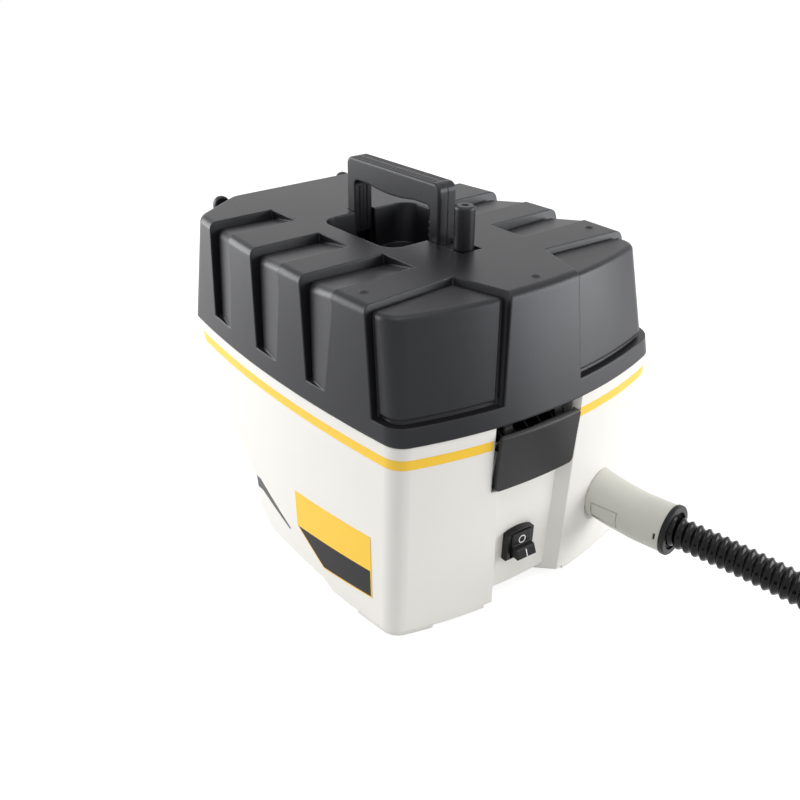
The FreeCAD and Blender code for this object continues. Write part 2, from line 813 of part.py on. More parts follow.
def latch_arm(x):
    """A hook that turns on the pin and reaches up behind the lid's ledge."""
    y = LATCH_PIN.y
    z = LATCH_PIN.z
    half = size("latch_arm_width") / 2
    top = RIM_TOP + 6
    outline = [(y - 11.5, z - 9), (y - 11.5, z + 4), (y - 3.5, z + 6), (y - 2.1, z + 12),
               (y - 2.1, top), (y + 1, top), (y + 1.6, z + 10), (y + 3.5, z + 3),
               (y + 3, z - 3), (y - 3, z - 7)]
    hub = rod(4.5, Vector(x - half, y, z), Vector(x + half, y, z))
    return prism(outline, X_AXIS, x - half, 2 * half).fuse(hub)


def rolled_top(solid, left, right, low, high):
    """The room inside the latch's bowed front, with its top edge rolled over."""
    room = solid.common(block(left - 5, right + 5, FRONT_Y - 12, FRONT_Y + 20, low - 5, high))
    top = [e for e in room.Edges if e.BoundBox.ZMin > high - 0.1 and e.BoundBox.YMax < FRONT_Y + 15
           and e.BoundBox.XLength > 40]
    return room.makeFillet(size("latch_roll"), top)


def front_latch():
    """The black latch: a bowed plate with side flanges, a rolled top and two hooks."""
    half = size("latch_width") / 2
    low = RIM_TOP - size("latch_drop") - size("latch_height")
    high = RIM_TOP - size("latch_drop")
    thick = size("latch_plate")
    plate, solid = bowed_plate(low, high, 0.3, size("latch_proud"), thick)
    left = LATCH_X - half
    right = LATCH_X + half
    outline = block(left, right, FRONT_Y - 20, FRONT_Y + 20, low, high)
    along = [e for e in outline.Edges if e.BoundBox.YLength > 1]
    outline = outline.makeFillet(4, along)
    pieces = [plate]
    for x in (left, right - 2):
        flange = prism([(FRONT_Y - 10, high), (FRONT_Y + 2.4, high), (FRONT_Y + 10.4, low),
                        (FRONT_Y - 10, low)], X_AXIS, x, 2)
        pieces.append(flange.common(solid))
    ledge = block(left, right, FRONT_Y - 10, FRONT_Y - 0.1, high - thick, high)
    pieces.append(ledge.common(solid))
    room = rolled_top(solid, left, right, low, high)
    body = pieces[0].fuse(pieces[1:]).common(room).common(outline)
    in_front = block(left, right, FRONT_Y - 30, FRONT_Y + 5, low, high).cut(room)
    arms = [latch_arm(LATCH_X + way * size("latch_arm_apart") / 2).cut(in_front) for way in (-1, 1)]
    body = body.fuse(arms)
    bore = rod(size("latch_pin_radius") + size("running_gap"), LATCH_PIN - X_AXIS * half,
               LATCH_PIN + X_AXIS * half)
    return shell_part("front_latch", body.cut(bore))


def latch_bracket():
    """The ribbed black bracket at the back of the notch, which carries the pin."""
    half = size("latch_width") / 2
    back = NOTCH_BACK_Y - 0.3
    low = RIM_TOP - 28
    high = RIM_TOP - 1
    body = block(LATCH_X - half, LATCH_X + half, back - 1.7, back, low, high)
    ribs = []
    for number in range(6):
        x = LATCH_X + (number - 2.5) * 13.5
        ribs.append(prism([(LATCH_PIN.y - 3.5, low + 2), (LATCH_PIN.y - 3.5, LATCH_PIN.z + 6),
                           (LATCH_PIN.y + 0.5, LATCH_PIN.z + 9), (LATCH_PIN.y + 0.5, high),
                           (back - 1, high), (back - 1, low + 2)], X_AXIS, x - 0.6, 1.2))
    bore = rod(size("latch_pin_radius") + size("running_gap"), LATCH_PIN - X_AXIS * half,
               LATCH_PIN + X_AXIS * half)
    return shell_part("latch_bracket", body.fuse(ribs).cut(bore))


def latch_pin():
    pin = doc.addObject("Part::Cylinder", "latch_pin")
    pin.setExpression("Radius", bound("latch_pin_radius"))
    pin.setExpression("Height", bound("latch_width + 6"))
    placed(pin, "latch_centre - latch_width / 2 - 3", "latch_proud - overall_length / 2 + latch_pin_in",
           "tub_height - latch_pin_drop", Rotation(Y_AXIS, 90))
    return keep("latch_pin", pin)


def latch_spring():
    """A torsion spring on the pin; its legs rest on the bracket and behind the plate."""
    x = LATCH_X - 13.5
    inner = size("latch_pin_radius") + 0.3
    wire = 0.7
    middle = LATCH_PIN + X_AXIS * (x - LATCH_X)
    coil = rod(inner + 2 * wire, middle - X_AXIS * 4, middle + X_AXIS * 4)
    hole = rod(inner, middle - X_AXIS * 5, middle + X_AXIS * 5)
    legs = []
    for shift, side, up in ((-3, 1, 6), (3, -1, -7)):
        start = Vector(x + shift, LATCH_PIN.y + side * (inner + wire), LATCH_PIN.z)
        end = Vector(x + shift, LATCH_PIN.y + side * 6.8, LATCH_PIN.z + up)
        legs.append(rod(wire, start, end))
    return shell_part("latch_spring", coil.fuse(legs).cut(hole))


# ---------------------------------------------------------------- switch

def at_switch(thing):
    thing.Placement = SWITCH_PLACE
    return thing


def switch_bezel():
    """The switch's frame, with an arched top."""
    half = size("bezel_width") / 2
    low = -size("bezel_height") / 2
    shoulder = size("bezel_height") / 2 - 2
    top = size("bezel_height") / 2 + 1
    corners = [Vector(-half, 0, low), Vector(half, 0, low), Vector(half, 0, shoulder),
               Vector(0, 0, top), Vector(-half, 0, shoulder)]
    edges = [Part.LineSegment(corners[0], corners[1]).toShape(),
             Part.LineSegment(corners[1], corners[2]).toShape(),
             Part.Arc(corners[2], corners[3], corners[4]).toShape(),
             Part.LineSegment(corners[4], corners[0]).toShape()]
    proud = size("bezel_proud")
    frame = Part.Face(Part.Wire(edges)).extrude(Y_AXIS * -(proud - 0.1))
    frame.translate(Y_AXIS * -0.1)
    front = [e for e in frame.Edges if e.BoundBox.YMax < 0.1 - proud]
    frame = frame.makeFillet(1, front)
    x = size("rocker_width") / 2 + 0.4
    z = size("rocker_height") / 2 + 1.2
    return at_switch(shell_part("switch_bezel", frame.cut(block(-x, x, -20, 20, -z, z))))


def boxed(name, x0, x1, y0, y1, z0, z1):
    """A box between two corners given by expressions."""
    box = doc.addObject("Part::Box", name)
    for side, low, high in (("Length", x0, x1), ("Width", y0, y1), ("Height", z0, z1)):
        box.setExpression(side, bound("(%s) - (%s)" % (high, low)))
    return placed(box, x0, y0, z0)


def drilled(name, radius, height, x, y, z, turn=None):
    """A cylinder from a place given by expressions."""
    hole = doc.addObject("Part::Cylinder", name)
    hole.setExpression("Radius", bound(radius))
    hole.setExpression("Height", bound(height))
    return placed(hole, x, y, z, turn)


def switch_body():
    """The part of the switch behind the panel, with its contacts' tabs."""
    case = boxed("switch_case", "-rocker_width / 2 - 1", "rocker_width / 2 + 1", "0.2", "switch_depth",
                 "-rocker_height / 2 - 1.1", "rocker_height / 2 + 1.1")
    tabs = [boxed("switch_tab_%d" % number, "%g" % (x - 2.4), "%g" % (x + 2.4), "switch_depth - 1",
                  "switch_depth + 7", "%g" % (z - 0.4), "%g" % (z + 0.4))
            for number, (x, z) in enumerate(((-5, 5), (-5, -5), (5, 5), (5, -5)))]
    pocket = boxed("switch_pocket", "-rocker_width / 2 - 0.3", "rocker_width / 2 + 0.3", "-1", "8",
                   "-rocker_height / 2 - 0.5", "rocker_height / 2 + 0.5")
    pivot = drilled("switch_pivot_hole", "1.55", "rocker_width + 4", "-rocker_width / 2 - 2",
                    "rocker_pivot_depth", "0",
                    Rotation(Y_AXIS, 90))
    return at_switch(keep("switch_body", cut_from("switch", joined("switch_case_tabs", [case] + tabs),
                                                  [pocket, pivot])))


def switch_rocker():
    """The rocker, resting with its upper half pressed and its stepped lower half out."""
    outline = [("-11.2", "rocker_height / 2 - 0.3"), ("-9.6", "-1"), ("-14", "-2.6"),
               ("-16.2", "-rocker_height / 2 - 0.3"), ("-1", "-rocker_height / 2 + 2.1"), ("3", "-4"),
               ("3", "4"), ("-1", "rocker_height / 2 - 2.1")]
    key = padded("rocker_key", "YZ_Plane", outline, "rocker_width", both_ways=True)
    pivot = drilled("rocker_pivot", "1.5", "rocker_width + 1.6", "-rocker_width / 2 - 0.8", "0", "0",
                    Rotation(Y_AXIS, 90))
    rocker = joined("rocker", [key, pivot])
    half_swing = Rotation(X_AXIS, -size("rocker_swing") / 2)
    rocker.Placement = SWITCH_PLACE.multiply(Placement(Vector(0, size("rocker_pivot_depth"), 0), half_swing))
    return keep("switch_rocker", rocker)


# ---------------------------------------------------------------- hose port and plug

def port_piece(label, outline):
    piece = turned(label, outline)
    piece.Placement = PORT_PLACE
    return keep(label, piece)


def hose_port():
    """The sleeve that the plug goes into, with a flange behind the wall."""
    return port_piece("hose_port", [
        ("port_bore_radius", "-20"), ("port_sleeve_radius", "-20"),
        ("port_sleeve_radius", "-tub_wall - 4.4"), ("port_sleeve_radius + 4", "-tub_wall - 4.4"),
        ("port_sleeve_radius + 4", "-tub_wall - 1.7"), ("port_sleeve_radius", "-tub_wall - 1.7"),
        ("port_sleeve_radius", "-0.8"), ("port_bore_radius", "-0.8")])


def port_seal():
    """The rubber ring in the plug's groove."""
    return port_piece("port_seal", ring_outline("port_bore_radius - 1.55", "port_bore_radius - 0.05",
                                                "-13.8", "-11.2"))


def outlet_duct():
    """The rubber sleeve from the turbine's outlet to the port."""
    return port_piece("outlet_duct", [
        ("spout_radius + 0.1", "-38"), ("spout_radius + 2.5", "-38"), ("spout_radius + 2.5", "-25"),
        ("port_sleeve_radius + 2.5", "-22"), ("port_sleeve_radius + 2.5", "-12"),
        ("port_sleeve_radius + 0.1", "-12"), ("port_sleeve_radius + 0.1", "-20.3"),
        ("spout_radius + 0.1", "-20.3")])


def plug_form():
    """The outside of the plug: a round barrel that swells upwards at the wall."""
    radius = size("plug_radius")
    fade = 45
    rings = [Part.Ellipse(Vector(0, rise + high, place), Vector(wide, rise, place), Vector(0, rise, place))
             for place, rise, wide, high in ((-3, 7.5, 20, 23), (24, 2.4, radius - 0.4, radius + 0.4))]
    rings.append(Part.Circle(Vector(0, 0, fade), Z_AXIS, radius))
    tapered = Part.makeLoft([Part.Wire(ring.toShape()) for ring in rings], True, False)
    barrel = upright_bore(radius, 0, 0, fade, size("plug_length"))
    return at_port(tapered).fuse(at_port(barrel)).cut(tub_form(-0.25))


def tab_region(margin, depth):
    """Where the plug's release tab lies, on the plug's left side."""
    radius = size("plug_radius")
    return at_port(block(-radius - 9, -radius + 3.2 + depth, -7 - margin, 7 + margin,
                         6 - margin, 30 + margin))


def tab_root(radius, reach):
    """The rounded root that the release tab bends about."""
    middle = Vector(-size("plug_radius") + 2.5, 0, 29.5)
    return at_port(rod(radius, middle - Y_AXIS * reach, middle + Y_AXIS * reach))


def plug_slot():
    """The small slot in the plug's left side, just before the collar."""
    slot = block(-size("plug_radius") - 1, -size("plug_radius") + 1.4, -2.8, 2.8, -1, 1)
    slot.Placement = Placement(Vector(0, 0, size("plug_length") - 4), Rotation(Z_AXIS, -4))
    return at_port(slot)


def hose_plug():
    """The plug on the hose's end, with a spigot in the port."""
    bore = size("hose_bore_radius") + 3
    spigot = at_port(upright_bore(size("port_bore_radius") - 0.1, 0, 0, -18, 10))
    groove = at_port(upright_bore(size("port_bore_radius"), 0, 0, -14, -11)
                     .cut(upright_bore(size("port_bore_radius") - 1.6, 0, 0, -15, -10)))
    hollow = at_port(upright_bore(bore, 0, 0, -19, 40))
    seat = at_port(upright_bore(size("hose_radius") + 0.1, 0, 0, size("hose_seat"), 90))
    body = plug_form().fuse(spigot).cut([groove, hollow, seat, plug_slot(), tab_region(0.4, 2.4),
                                         tab_root(1.8, 7.4)])
    return shell_part("hose_plug", body)


def plug_release_tab():
    tab = plug_form().common(tab_region(0, 0))
    return shell_part("plug_release_tab", tab.fuse(tab_root(1.2, 6.9)))


def hose_collar():
    """The black ring where the hose leaves the plug."""
    return port_piece("hose_collar", [
        ("hose_radius + 0.1", "plug_length"), ("plug_radius + 0.4", "plug_length"),
        ("plug_radius + 1", "plug_length + 0.8"), ("plug_radius + 1", "plug_length + 4"),
        ("plug_radius", "plug_length + 5"), ("hose_radius + 3.2", "plug_length + 5"),
        ("hose_radius + 2.6", "plug_length + 1.6"), ("hose_radius + 0.1", "plug_length + 1.6")])


# ---------------------------------------------------------------- hose

def along_port(distance, height=None):
    """A point on the hose's way out, a distance from the wall."""
    point = PORT + PORT_WAY * distance
    if height is not None:
        point.z = height
    return point


FLOOR = size("hose_radius")
ROUTE = [along_port(62), along_port(207), along_port(347, FLOOR), along_port(440, FLOOR)]
COIL_RADII = (5.5 * 2 * FLOOR, 3.5 * 2 * FLOOR)
COIL_CENTRE = ROUTE[-1] + Z_AXIS.cross(PORT_WAY) * -COIL_RADII[0]
END_TURN = size("port_turn") - size("hose_wound")
END_PLACE = Placement(
    COIL_CENTRE + Rotation(Z_AXIS, END_TURN).multVec(X_AXIS * (COIL_RADII[0] + 5))
    + Z_AXIS * (FLOOR + size("connector_radius") + 0.5),
    Rotation(Z_AXIS, END_TURN) * Rotation(X_AXIS, 90))


def route_wire(points):
    """Straight runs joined by tangent arcs, as large as the runs allow."""
    edges = []
    last = points[0]
    for before, corner, after in zip(points, points[1:], points[2:]):
        back = (before - corner).normalize()
        ahead = (after - corner).normalize()
        turn = math.pi - back.getAngle(ahead)
        reach = 0.45 * min(before.distanceToPoint(corner), corner.distanceToPoint(after))
        radius = reach / math.tan(turn / 2)
        print("hose radius %.0f mm" % radius)
        middle_way = (back + ahead).normalize()
        middle = corner + middle_way * (radius / math.cos(turn / 2) - radius)
        start = corner + back * reach
        end = corner + ahead * reach
        edges.append(Part.LineSegment(last, start).toShape())
        edges.append(Part.Arc(start, middle, end).toShape())
        last = end
    edges.append(Part.LineSegment(last, points[-1]).toShape())
    return Part.Wire(edges)


def air_hose():
    """The stretch of hose from the plug to its coil."""
    path = route_wire(ROUTE)
    section = Part.Wire(Part.Circle(ROUTE[0], PORT_WAY, size("hose_radius")).toShape())
    tube = path.makePipeShell([section], True, False)
    expected = math.pi * size("hose_radius") ** 2 * path.Length
    print("hose volume %.4f of its section times its length" % (tube.Volume / expected))
    return shell_part("air_hose", tube)


def hose_coil():
    """The outer shape of the coiled length: two turns side by side, in two layers."""
    half = size("hose_radius")
    floor = COIL_CENTRE - Z_AXIS * FLOOR
    outer = Part.makeCylinder(COIL_RADII[0] + half + 3, 4 * half, floor)
    inner = Part.makeCylinder(COIL_RADII[1] - half, 4 * half, floor)
    way_in = block(-half - 1, half + 40, -half - 1, 3 * half + 1, -170, 0)
    way_in.Placement = Placement(ROUTE[-1], PORT_TURN)
    way_out = block(-half - 4, half + 60, 2 * half - END_PLACE.Base.z, 60, 0, 90)
    way_out.Placement = END_PLACE
    return shell_part("hose_coil", outer.cut([inner, way_in, way_out]))


def hose_end_connector():
    """The socket on the hose's far end, lying on the coil."""
    bore = "hose_bore_radius"
    piece = turned("hose_end_connector", [
        (bore, "0"), ("connector_radius - 1", "0"), ("connector_radius", "3"), ("connector_radius", "38"),
        ("connector_radius - 1.5", "40"), ("connector_radius - 1.5", "60"), (bore + " + 2.6", "60"),
        (bore + " + 2.6", "30"), (bore, "30")])
    piece.Placement = END_PLACE
    return keep("hose_end_connector", piece)


# ---------------------------------------------------------------- lid, handle and peg

def tapered_pocket(grow, bottom):
    """The hand pocket's inside, or its cup when grown by the wall."""
    x = size("pocket_half_width") + grow
    front = size("pocket_front_y") - grow
    rear = size("pocket_rear_y") + grow
    depth = LID_TOP + 0.5 - bottom
    walls = []
    for inward, height in ((0, LID_TOP + 0.5), (size("pocket_slope") * depth, bottom)):
        box = block(-x + inward, x - inward, front + inward * 0.6, rear - inward * 0.6, height, height + 1)
        upright = [e for e in box.Edges if e.BoundBox.ZLength > 0.5]
        box = box.makeFillet(size("pocket_corner_radius"), upright)
        walls.append([f for f in box.Faces if f.BoundBox.ZMax < height + 0.5][0].OuterWire)
    return Part.makeLoft(walls, True, True)


def post_slot(front, margin, low, high):
    """The upright channel that one of the handle's posts slides in."""
    half = size("handle_width") / 2 + margin
    return block(-half, half, front - margin, front + size("handle_post") + margin, low, high)


HANDLE_FRONT_Y = size("handle_centre_y") - size("handle_length") / 2
HANDLE_REAR_Y = size("handle_centre_y") + size("handle_length") / 2 - size("handle_post")
HANDLE_TOP = LID_TOP + size("handle_rise")
SLEEVE_LOW = LID_TOP - size("handle_tail") - size("handle_travel") - 2


def peg_recess():
    """Where the shallow recess between the peg and the handle starts and ends."""
    return size("peg_y") - size("peg_radius") - 1.5, HANDLE_FRONT_Y + 1


def lid_knuckle(x):
    half = size("knuckle_width") / 2
    barrel = rod(size("hinge_knuckle_radius"), Vector(x - half, HINGE_Y, HINGE_Z),
                 Vector(x + half, HINGE_Y, HINGE_Z))
    web = prism([(REAR_Y - 2, RIM_TOP + 0.5), (REAR_Y - 2, RIM_TOP + 14), (REAR_Y + 3, RIM_TOP + 11),
                 (HINGE_Y + 5, HINGE_Z + 2), (HINGE_Y + 1, HINGE_Z)], X_AXIS, x - half, 2 * half)
    return barrel.fuse(web)


def lid_shell():
    """The charcoal lid with its hand pocket, the handle's sleeves, the latch's ledge and knuckles."""
    wall = size("lid_wall")
    pocket_floor = LID_TOP - size("pocket_depth")
    form = lid_with_steps(0)
    shell = form.cut(lid_with_steps(wall))
    cup = tapered_pocket(2.5, pocket_floor - 2.5).common(lid_form(0.5))
    pieces = [cup]
    for front in (HANDLE_FRONT_Y, HANDLE_REAR_Y):
        pieces.append(post_slot(front, size("slot_gap") + 2.5, SLEEVE_LOW, LID_TOP - wall + 1))
    ledge_y = LATCH_PIN.y - 2.4
    pieces.append(block(LATCH_X - 32, LATCH_X + 32, FRONT_Y, ledge_y, RIM_TOP + 2, RIM_TOP + 5)
                  .common(lid_form(1)))
    pieces += [lid_knuckle(x) for x in HINGES]
    for x, y in ((-121, -100), (121, -100), (0, -154)):
        pip = Part.makeSphere(6, Vector(x, y, LID_TOP - 4.6))
        pieces.append(pip.common(block(x - 9, x + 9, y - 9, y + 9, LID_TOP - 1, LID_TOP + 3)))
    front, rear = peg_recess()
    pieces.append(block(-13.5, 13.5, front - 3, rear, LID_TOP - size("peg_sink") - wall, LID_TOP - 1))
    channel = size("channel_width") / 2
    tools = [
        tapered_pocket(0, pocket_floor),
        block(-channel, channel, HANDLE_FRONT_Y + 2, size("pocket_front_y") + 11,
              pocket_floor - 5, LID_TOP + 5),
        block(-channel, channel, size("pocket_rear_y") - 11, HANDLE_REAR_Y + 2, pocket_floor, LID_TOP + 5),
        block(-10.5, 10.5, front, rear, LID_TOP - size("peg_sink"), LID_TOP + 5),
    ]
    for front in (HANDLE_FRONT_Y, HANDLE_REAR_Y):
        tools.append(post_slot(front, size("slot_gap"), SLEEVE_LOW - 5, LID_TOP + 10))
    for x in HINGES:
        tools.append(rod(size("hinge_pin_radius") + size("running_gap"), Vector(x - 20, HINGE_Y, HINGE_Z),
                         Vector(x + 20, HINGE_Y, HINGE_Z)))
    return shell_part("lid_shell", shell.fuse(pieces).cut(tools))


def cord_hooks():
    """Two hooks on the lid's rear wall, to wind the mains lead round."""
    low = LID_TOP - 35
    high = LID_TOP - 4.5
    reach = size("hook_reach")

    def wall_y(height):
        return REAR_Y - size("lid_rear_draft") * (height - RIM_TOP) / size("lid_height")

    hooks = []
    for x in HOOKS:
        upright = block(x - 8, x + 8, REAR_Y + reach - 6, REAR_Y + reach, low, high)
        corners = [e for e in upright.Edges if e.BoundBox.ZMin > high - 1 and e.BoundBox.YLength > 1]
        upright = upright.makeFillet(7.5, corners)
        rim = [e for e in upright.Edges if e.BoundBox.YLength < 0.01 and e.BoundBox.ZMax > low + 1]
        arm = prism([(wall_y(low), low), (REAR_Y + reach - 1, low), (REAR_Y + reach - 1, low + 10),
                     (wall_y(low + 16), low + 16)], X_AXIS, x - 8, 16)
        hooks.append(upright.makeFillet(1.5, rim).fuse(arm))
    return shell_part("cord_hooks", Part.makeCompound(hooks))


HANDLE_SCREWS = [(HANDLE_FRONT_Y + 5.5, LID_TOP - 10), (HANDLE_REAR_Y + 5.5, LID_TOP - 10),
                 (size("handle_centre_y") - 30, HANDLE_TOP - 10),
                 (size("handle_centre_y") + 30, HANDLE_TOP - 10)]
BUTTON_Z = LID_TOP + 8


def handle_form():
    """The handle's outside: two posts and a grip, one solid before it is split."""
    front = HANDLE_FRONT_Y
    rear = HANDLE_REAR_Y + size("handle_post")
    low = LID_TOP - size("handle_tail")
    half = size("handle_width") / 2
    outer = block(-half, half, front, rear, low, HANDLE_TOP)
    corners = [e for e in outer.Edges if e.BoundBox.XLength > 1 and e.BoundBox.ZMin > HANDLE_TOP - 1]
    outer = outer.makeFillet(7, corners)
    opening_top = HANDLE_TOP - size("handle_bar")
    opening = block(-half - 1, half + 1, front + size("handle_post"), HANDLE_REAR_Y, low - 1, opening_top)
    corners = [e for e in opening.Edges if e.BoundBox.XLength > 1 and e.BoundBox.ZMin > opening_top - 1]
    opening = opening.makeFillet(5, corners)
    form = outer.cut(opening)
    belly = rod(170, Vector(-half, size("handle_centre_y"), opening_top + 167.2),
                Vector(half, size("handle_centre_y"), opening_top + 167.2))
    form = form.fuse(belly.common(block(-half, half, front + 20, rear - 20, opening_top - 5,
                                        opening_top + 3)))
    long_edges = [e for e in form.Edges if e.BoundBox.XLength < 0.01
                  and abs(abs(e.BoundBox.XMin) - half) < 0.01 and e.BoundBox.ZMin > HANDLE_TOP - 7.1]
    return form.makeFillet(2, long_edges)


def button_room(grow):
    """Where the release button moves, in the front post."""
    rear = HANDLE_FRONT_Y + size("handle_post")
    return block(-5 - grow, 5 + grow, rear - 5.2 - (3.4 if grow else 0), rear + grow,
                 BUTTON_Z - 8 - grow, BUTTON_Z + 8 + grow)


def handle_halves():
    form = handle_form().cut(button_room(0.3))
    half = size("handle_width") / 2
    grooves = [rod(0.7, Vector(x, HANDLE_FRONT_Y + 9, HANDLE_TOP + 0.1),
                   Vector(x, HANDLE_REAR_Y + 2, HANDLE_TOP + 0.1)) for x in (-6, -3, 3, 6)]
    grooves += [rod(0.8, Vector(x, HANDLE_REAR_Y - 0.2, LID_TOP - size("handle_tail")),
                    Vector(x, HANDLE_REAR_Y - 0.2, LID_TOP + 22)) for x in (-4, 4)]
    form = form.cut(grooves)
    bores = []
    for y, z in HANDLE_SCREWS:
        bores.append(rod(1.55, Vector(-5, y, z), Vector(half - 3.4, y, z)))
        bores.append(rod(3.1, Vector(half - 3.4, y, z), Vector(half + 1, y, z)))
    form = form.cut(bores)
    left = form.common(block(-half - 1, -0.05, -200, 200, 0, 400))
    right = form.common(block(0.05, half + 1, -200, 200, 0, 400))
    return [shell_part("handle_left_half", left), shell_part("handle_right_half", right)]


def handle_screws():
    screws = []
    for number, (y, z) in enumerate(HANDLE_SCREWS):
        screw = turned("handle_screw_%d" % number, stepped_pin("1.5", "10.5", "3", "1.8"))
        screw.Placement = Placement(Vector(size("handle_width") / 2 - 3.4, y, z), Rotation(Y_AXIS, 90))
        screws.append(screw)
    return group("handle_screws", screws)


def release_button():
    """The ribbed button on the inner face of the front post."""
    face = HANDLE_FRONT_Y + size("handle_post")
    body = button_room(0)
    ribs = [block(-5, 5, face - 1, face + 6.5, BUTTON_Z - 7.5 + 5.5 * k, BUTTON_Z - 5.2 + 5.5 * k)
            for k in range(3)]
    ribs.append(block(-5, 5, face - 1, face + 4.5, BUTTON_Z - 7.5, BUTTON_Z + 7.5))
    return shell_part("handle_release_button", body.fuse(ribs))


def button_spring():
    """The small spring behind the release button."""
    face = HANDLE_FRONT_Y + size("handle_post")
    coil = rod(2.6, Vector(0, face - 8.2, BUTTON_Z), Vector(0, face - 5.4, BUTTON_Z))
    hole = rod(1.8, Vector(0, face - 9, BUTTON_Z), Vector(0, face, BUTTON_Z))
    return shell_part("button_spring", coil.cut(hole))


def gun_holder_peg():
    """The slotted peg in front of the handle, which holds the spray gun."""
    radius = size("peg_radius")
    high = size("peg_height") + size("peg_sink")
    foot = Vector(0, size("peg_y"), LID_TOP - size("peg_sink"))
    peg = rod(radius, foot, foot + Z_AXIS * high)
    top = [e for e in peg.Edges if e.BoundBox.ZMin > foot.z + high - 0.5]
    slot = block(radius - 2.5, radius + 1, -1, 1, 4, high + 1)
    slot.Placement = Placement(foot, Rotation(Z_AXIS, -35))
    dimple = rod(3, foot + Z_AXIS * (high - 1), foot + Z_AXIS * (high + 1))
    return shell_part("gun_holder_peg", peg.makeFillet(2.2, top).cut([slot, dimple]))


# ---------------------------------------------------------------- turbine

HOUSING_EARS = [0, 90, 180, 240]
BASE_Z = size("turbine_base")
SPLIT_Z = BASE_Z + size("turbine_height")
WHEEL_Z = [BASE_Z + 4, BASE_Z + 21.5]


def round_turbine(radius, angle):
    return TURBINE + Rotation(Z_AXIS, angle).multVec(X_AXIS * radius)


def housing_ears(low, high):
    ears = []
    for angle in HOUSING_EARS:
        place = round_turbine(size("turbine_radius") + 3, angle)
        ears.append(upright_bore(5, place.x, place.y, low, high))
    return ears


def ear_bores(radius, low, high):
    places = [round_turbine(size("turbine_radius") + 3, angle) for angle in HOUSING_EARS]
    return [upright_bore(radius, place.x, place.y, low, high) for place in places]


def turbine_lower_housing():
    """The cup that holds both stages, with the outlet spout and three lugs."""
    radius = size("turbine_radius")
    wall = size("turbine_wall")
    cup = upright_bore(radius, 0, TURBINE.y, BASE_Z, SPLIT_Z)
    spout = at_port(upright_bore(size("spout_radius"), 0, 0, -95, -24))
    pieces = [spout] + housing_ears(SPLIT_Z - 8, SPLIT_Z)
    for mount, turn in zip(MOUNTS, MOUNT_TURNS):
        arm = block(radius - 6, size("mount_circle"), -6, 6, 0, 3)
        arm.Placement = Placement(TURBINE + Z_AXIS * BASE_Z, Rotation(Z_AXIS, turn))
        pieces += [arm, upright_bore(8, mount.x, mount.y, BASE_Z, BASE_Z + 3)]
    tools = [upright_bore(radius - wall, 0, TURBINE.y, BASE_Z + wall, SPLIT_Z + 1),
             upright_bore(size("inlet_radius"), 0, TURBINE.y, BASE_Z - 1, BASE_Z + 5),
             at_port(upright_bore(size("spout_radius") - wall, 0, 0, -100, -20))]
    tools += ear_bores(1.55, SPLIT_Z - 7, SPLIT_Z + 1)
    for mount in MOUNTS:
        tools.append(upright_bore(size("screw_radius") + 0.1, mount.x, mount.y, BASE_Z - 1, BASE_Z + 4))
    return shell_part("turbine_lower_housing", cup.fuse(pieces).cut(tools))


def round_post(name, radius, low, high, circle, angle):
    """A cylinder on a circle round the turbine's shaft."""
    return drilled(name, radius, "(%s) - (%s)" % (high, low), "(%s) * cos(%d)" % (circle, angle),
                   "turbine_y + (%s) * sin(%d)" % (circle, angle), low)


def on_shaft(label, outline):
    """A turned piece on the turbine's shaft line."""
    return placed(turned(label, outline), 0, "turbine_y", 0)


SPLIT = "(turbine_base + turbine_height)"


def turbine_upper_housing():
    """The plate over the stages, with the motor's can and the lower bearing's seat."""
    seat = "bearing_radius + 0.03"
    body = on_shaft("upper_housing_body", [
        ("shaft_radius + 0.5", SPLIT + " - 2"), (seat + " + 2.5", SPLIT + " - 2"), (seat + " + 2.5", SPLIT),
        ("turbine_radius", SPLIT), ("turbine_radius", SPLIT + " + 2.5"),
        ("motor_radius + 2.5", SPLIT + " + 2.5"), ("motor_radius + 2.5", SPLIT + " + motor_height - 11"),
        ("motor_radius + 0.2", SPLIT + " + motor_height - 11"), ("motor_radius + 0.2", SPLIT + " + 2.5"),
        (seat + " + 2.5", SPLIT + " + 2.5"), (seat + " + 2.5", SPLIT + " + bearing_height"),
        (seat, SPLIT + " + bearing_height"), (seat, SPLIT), ("shaft_radius + 0.5", SPLIT)])
    ears = [round_post("upper_ear_%d" % turn, "5", SPLIT, SPLIT + " + 2.5", "turbine_radius + 3", turn)
            for turn in HOUSING_EARS]
    tools = [round_post("upper_ear_hole_%d" % turn, "1.6", SPLIT + " - 1", SPLIT + " + 5",
                        "turbine_radius + 3", turn) for turn in HOUSING_EARS]
    tools += [round_post("vent_%d" % turn, "4", SPLIT + " - 1", SPLIT + " + 4", "motor_radius - 5", turn)
              for turn in range(0, 360, 45)]
    closed = joined("upper_housing_ears", [body] + ears)
    return keep("turbine_upper_housing", cut_from("upper_housing", closed, tools))


def stage_diffuser():
    """The fixed plate between the two wheels, with guide vanes on it."""
    plate = upright_bore(size("turbine_radius") - size("turbine_wall") - 0.1, 0, 0, 0, 2.5)
    vanes = [at_turn(block(26, 60, -0.8, 0.8, -1.5, 1), Rotation(Z_AXIS, 45 * number), -25)
             for number in range(8)]
    diffuser = plate.fuse(vanes).cut(upright_bore(size("inlet_radius") + 2, 0, 0, -5, 5))
    diffuser.translate(TURBINE + Z_AXIS * (size("turbine_base") + 15))
    return shell_part("stage_diffuser", diffuser)


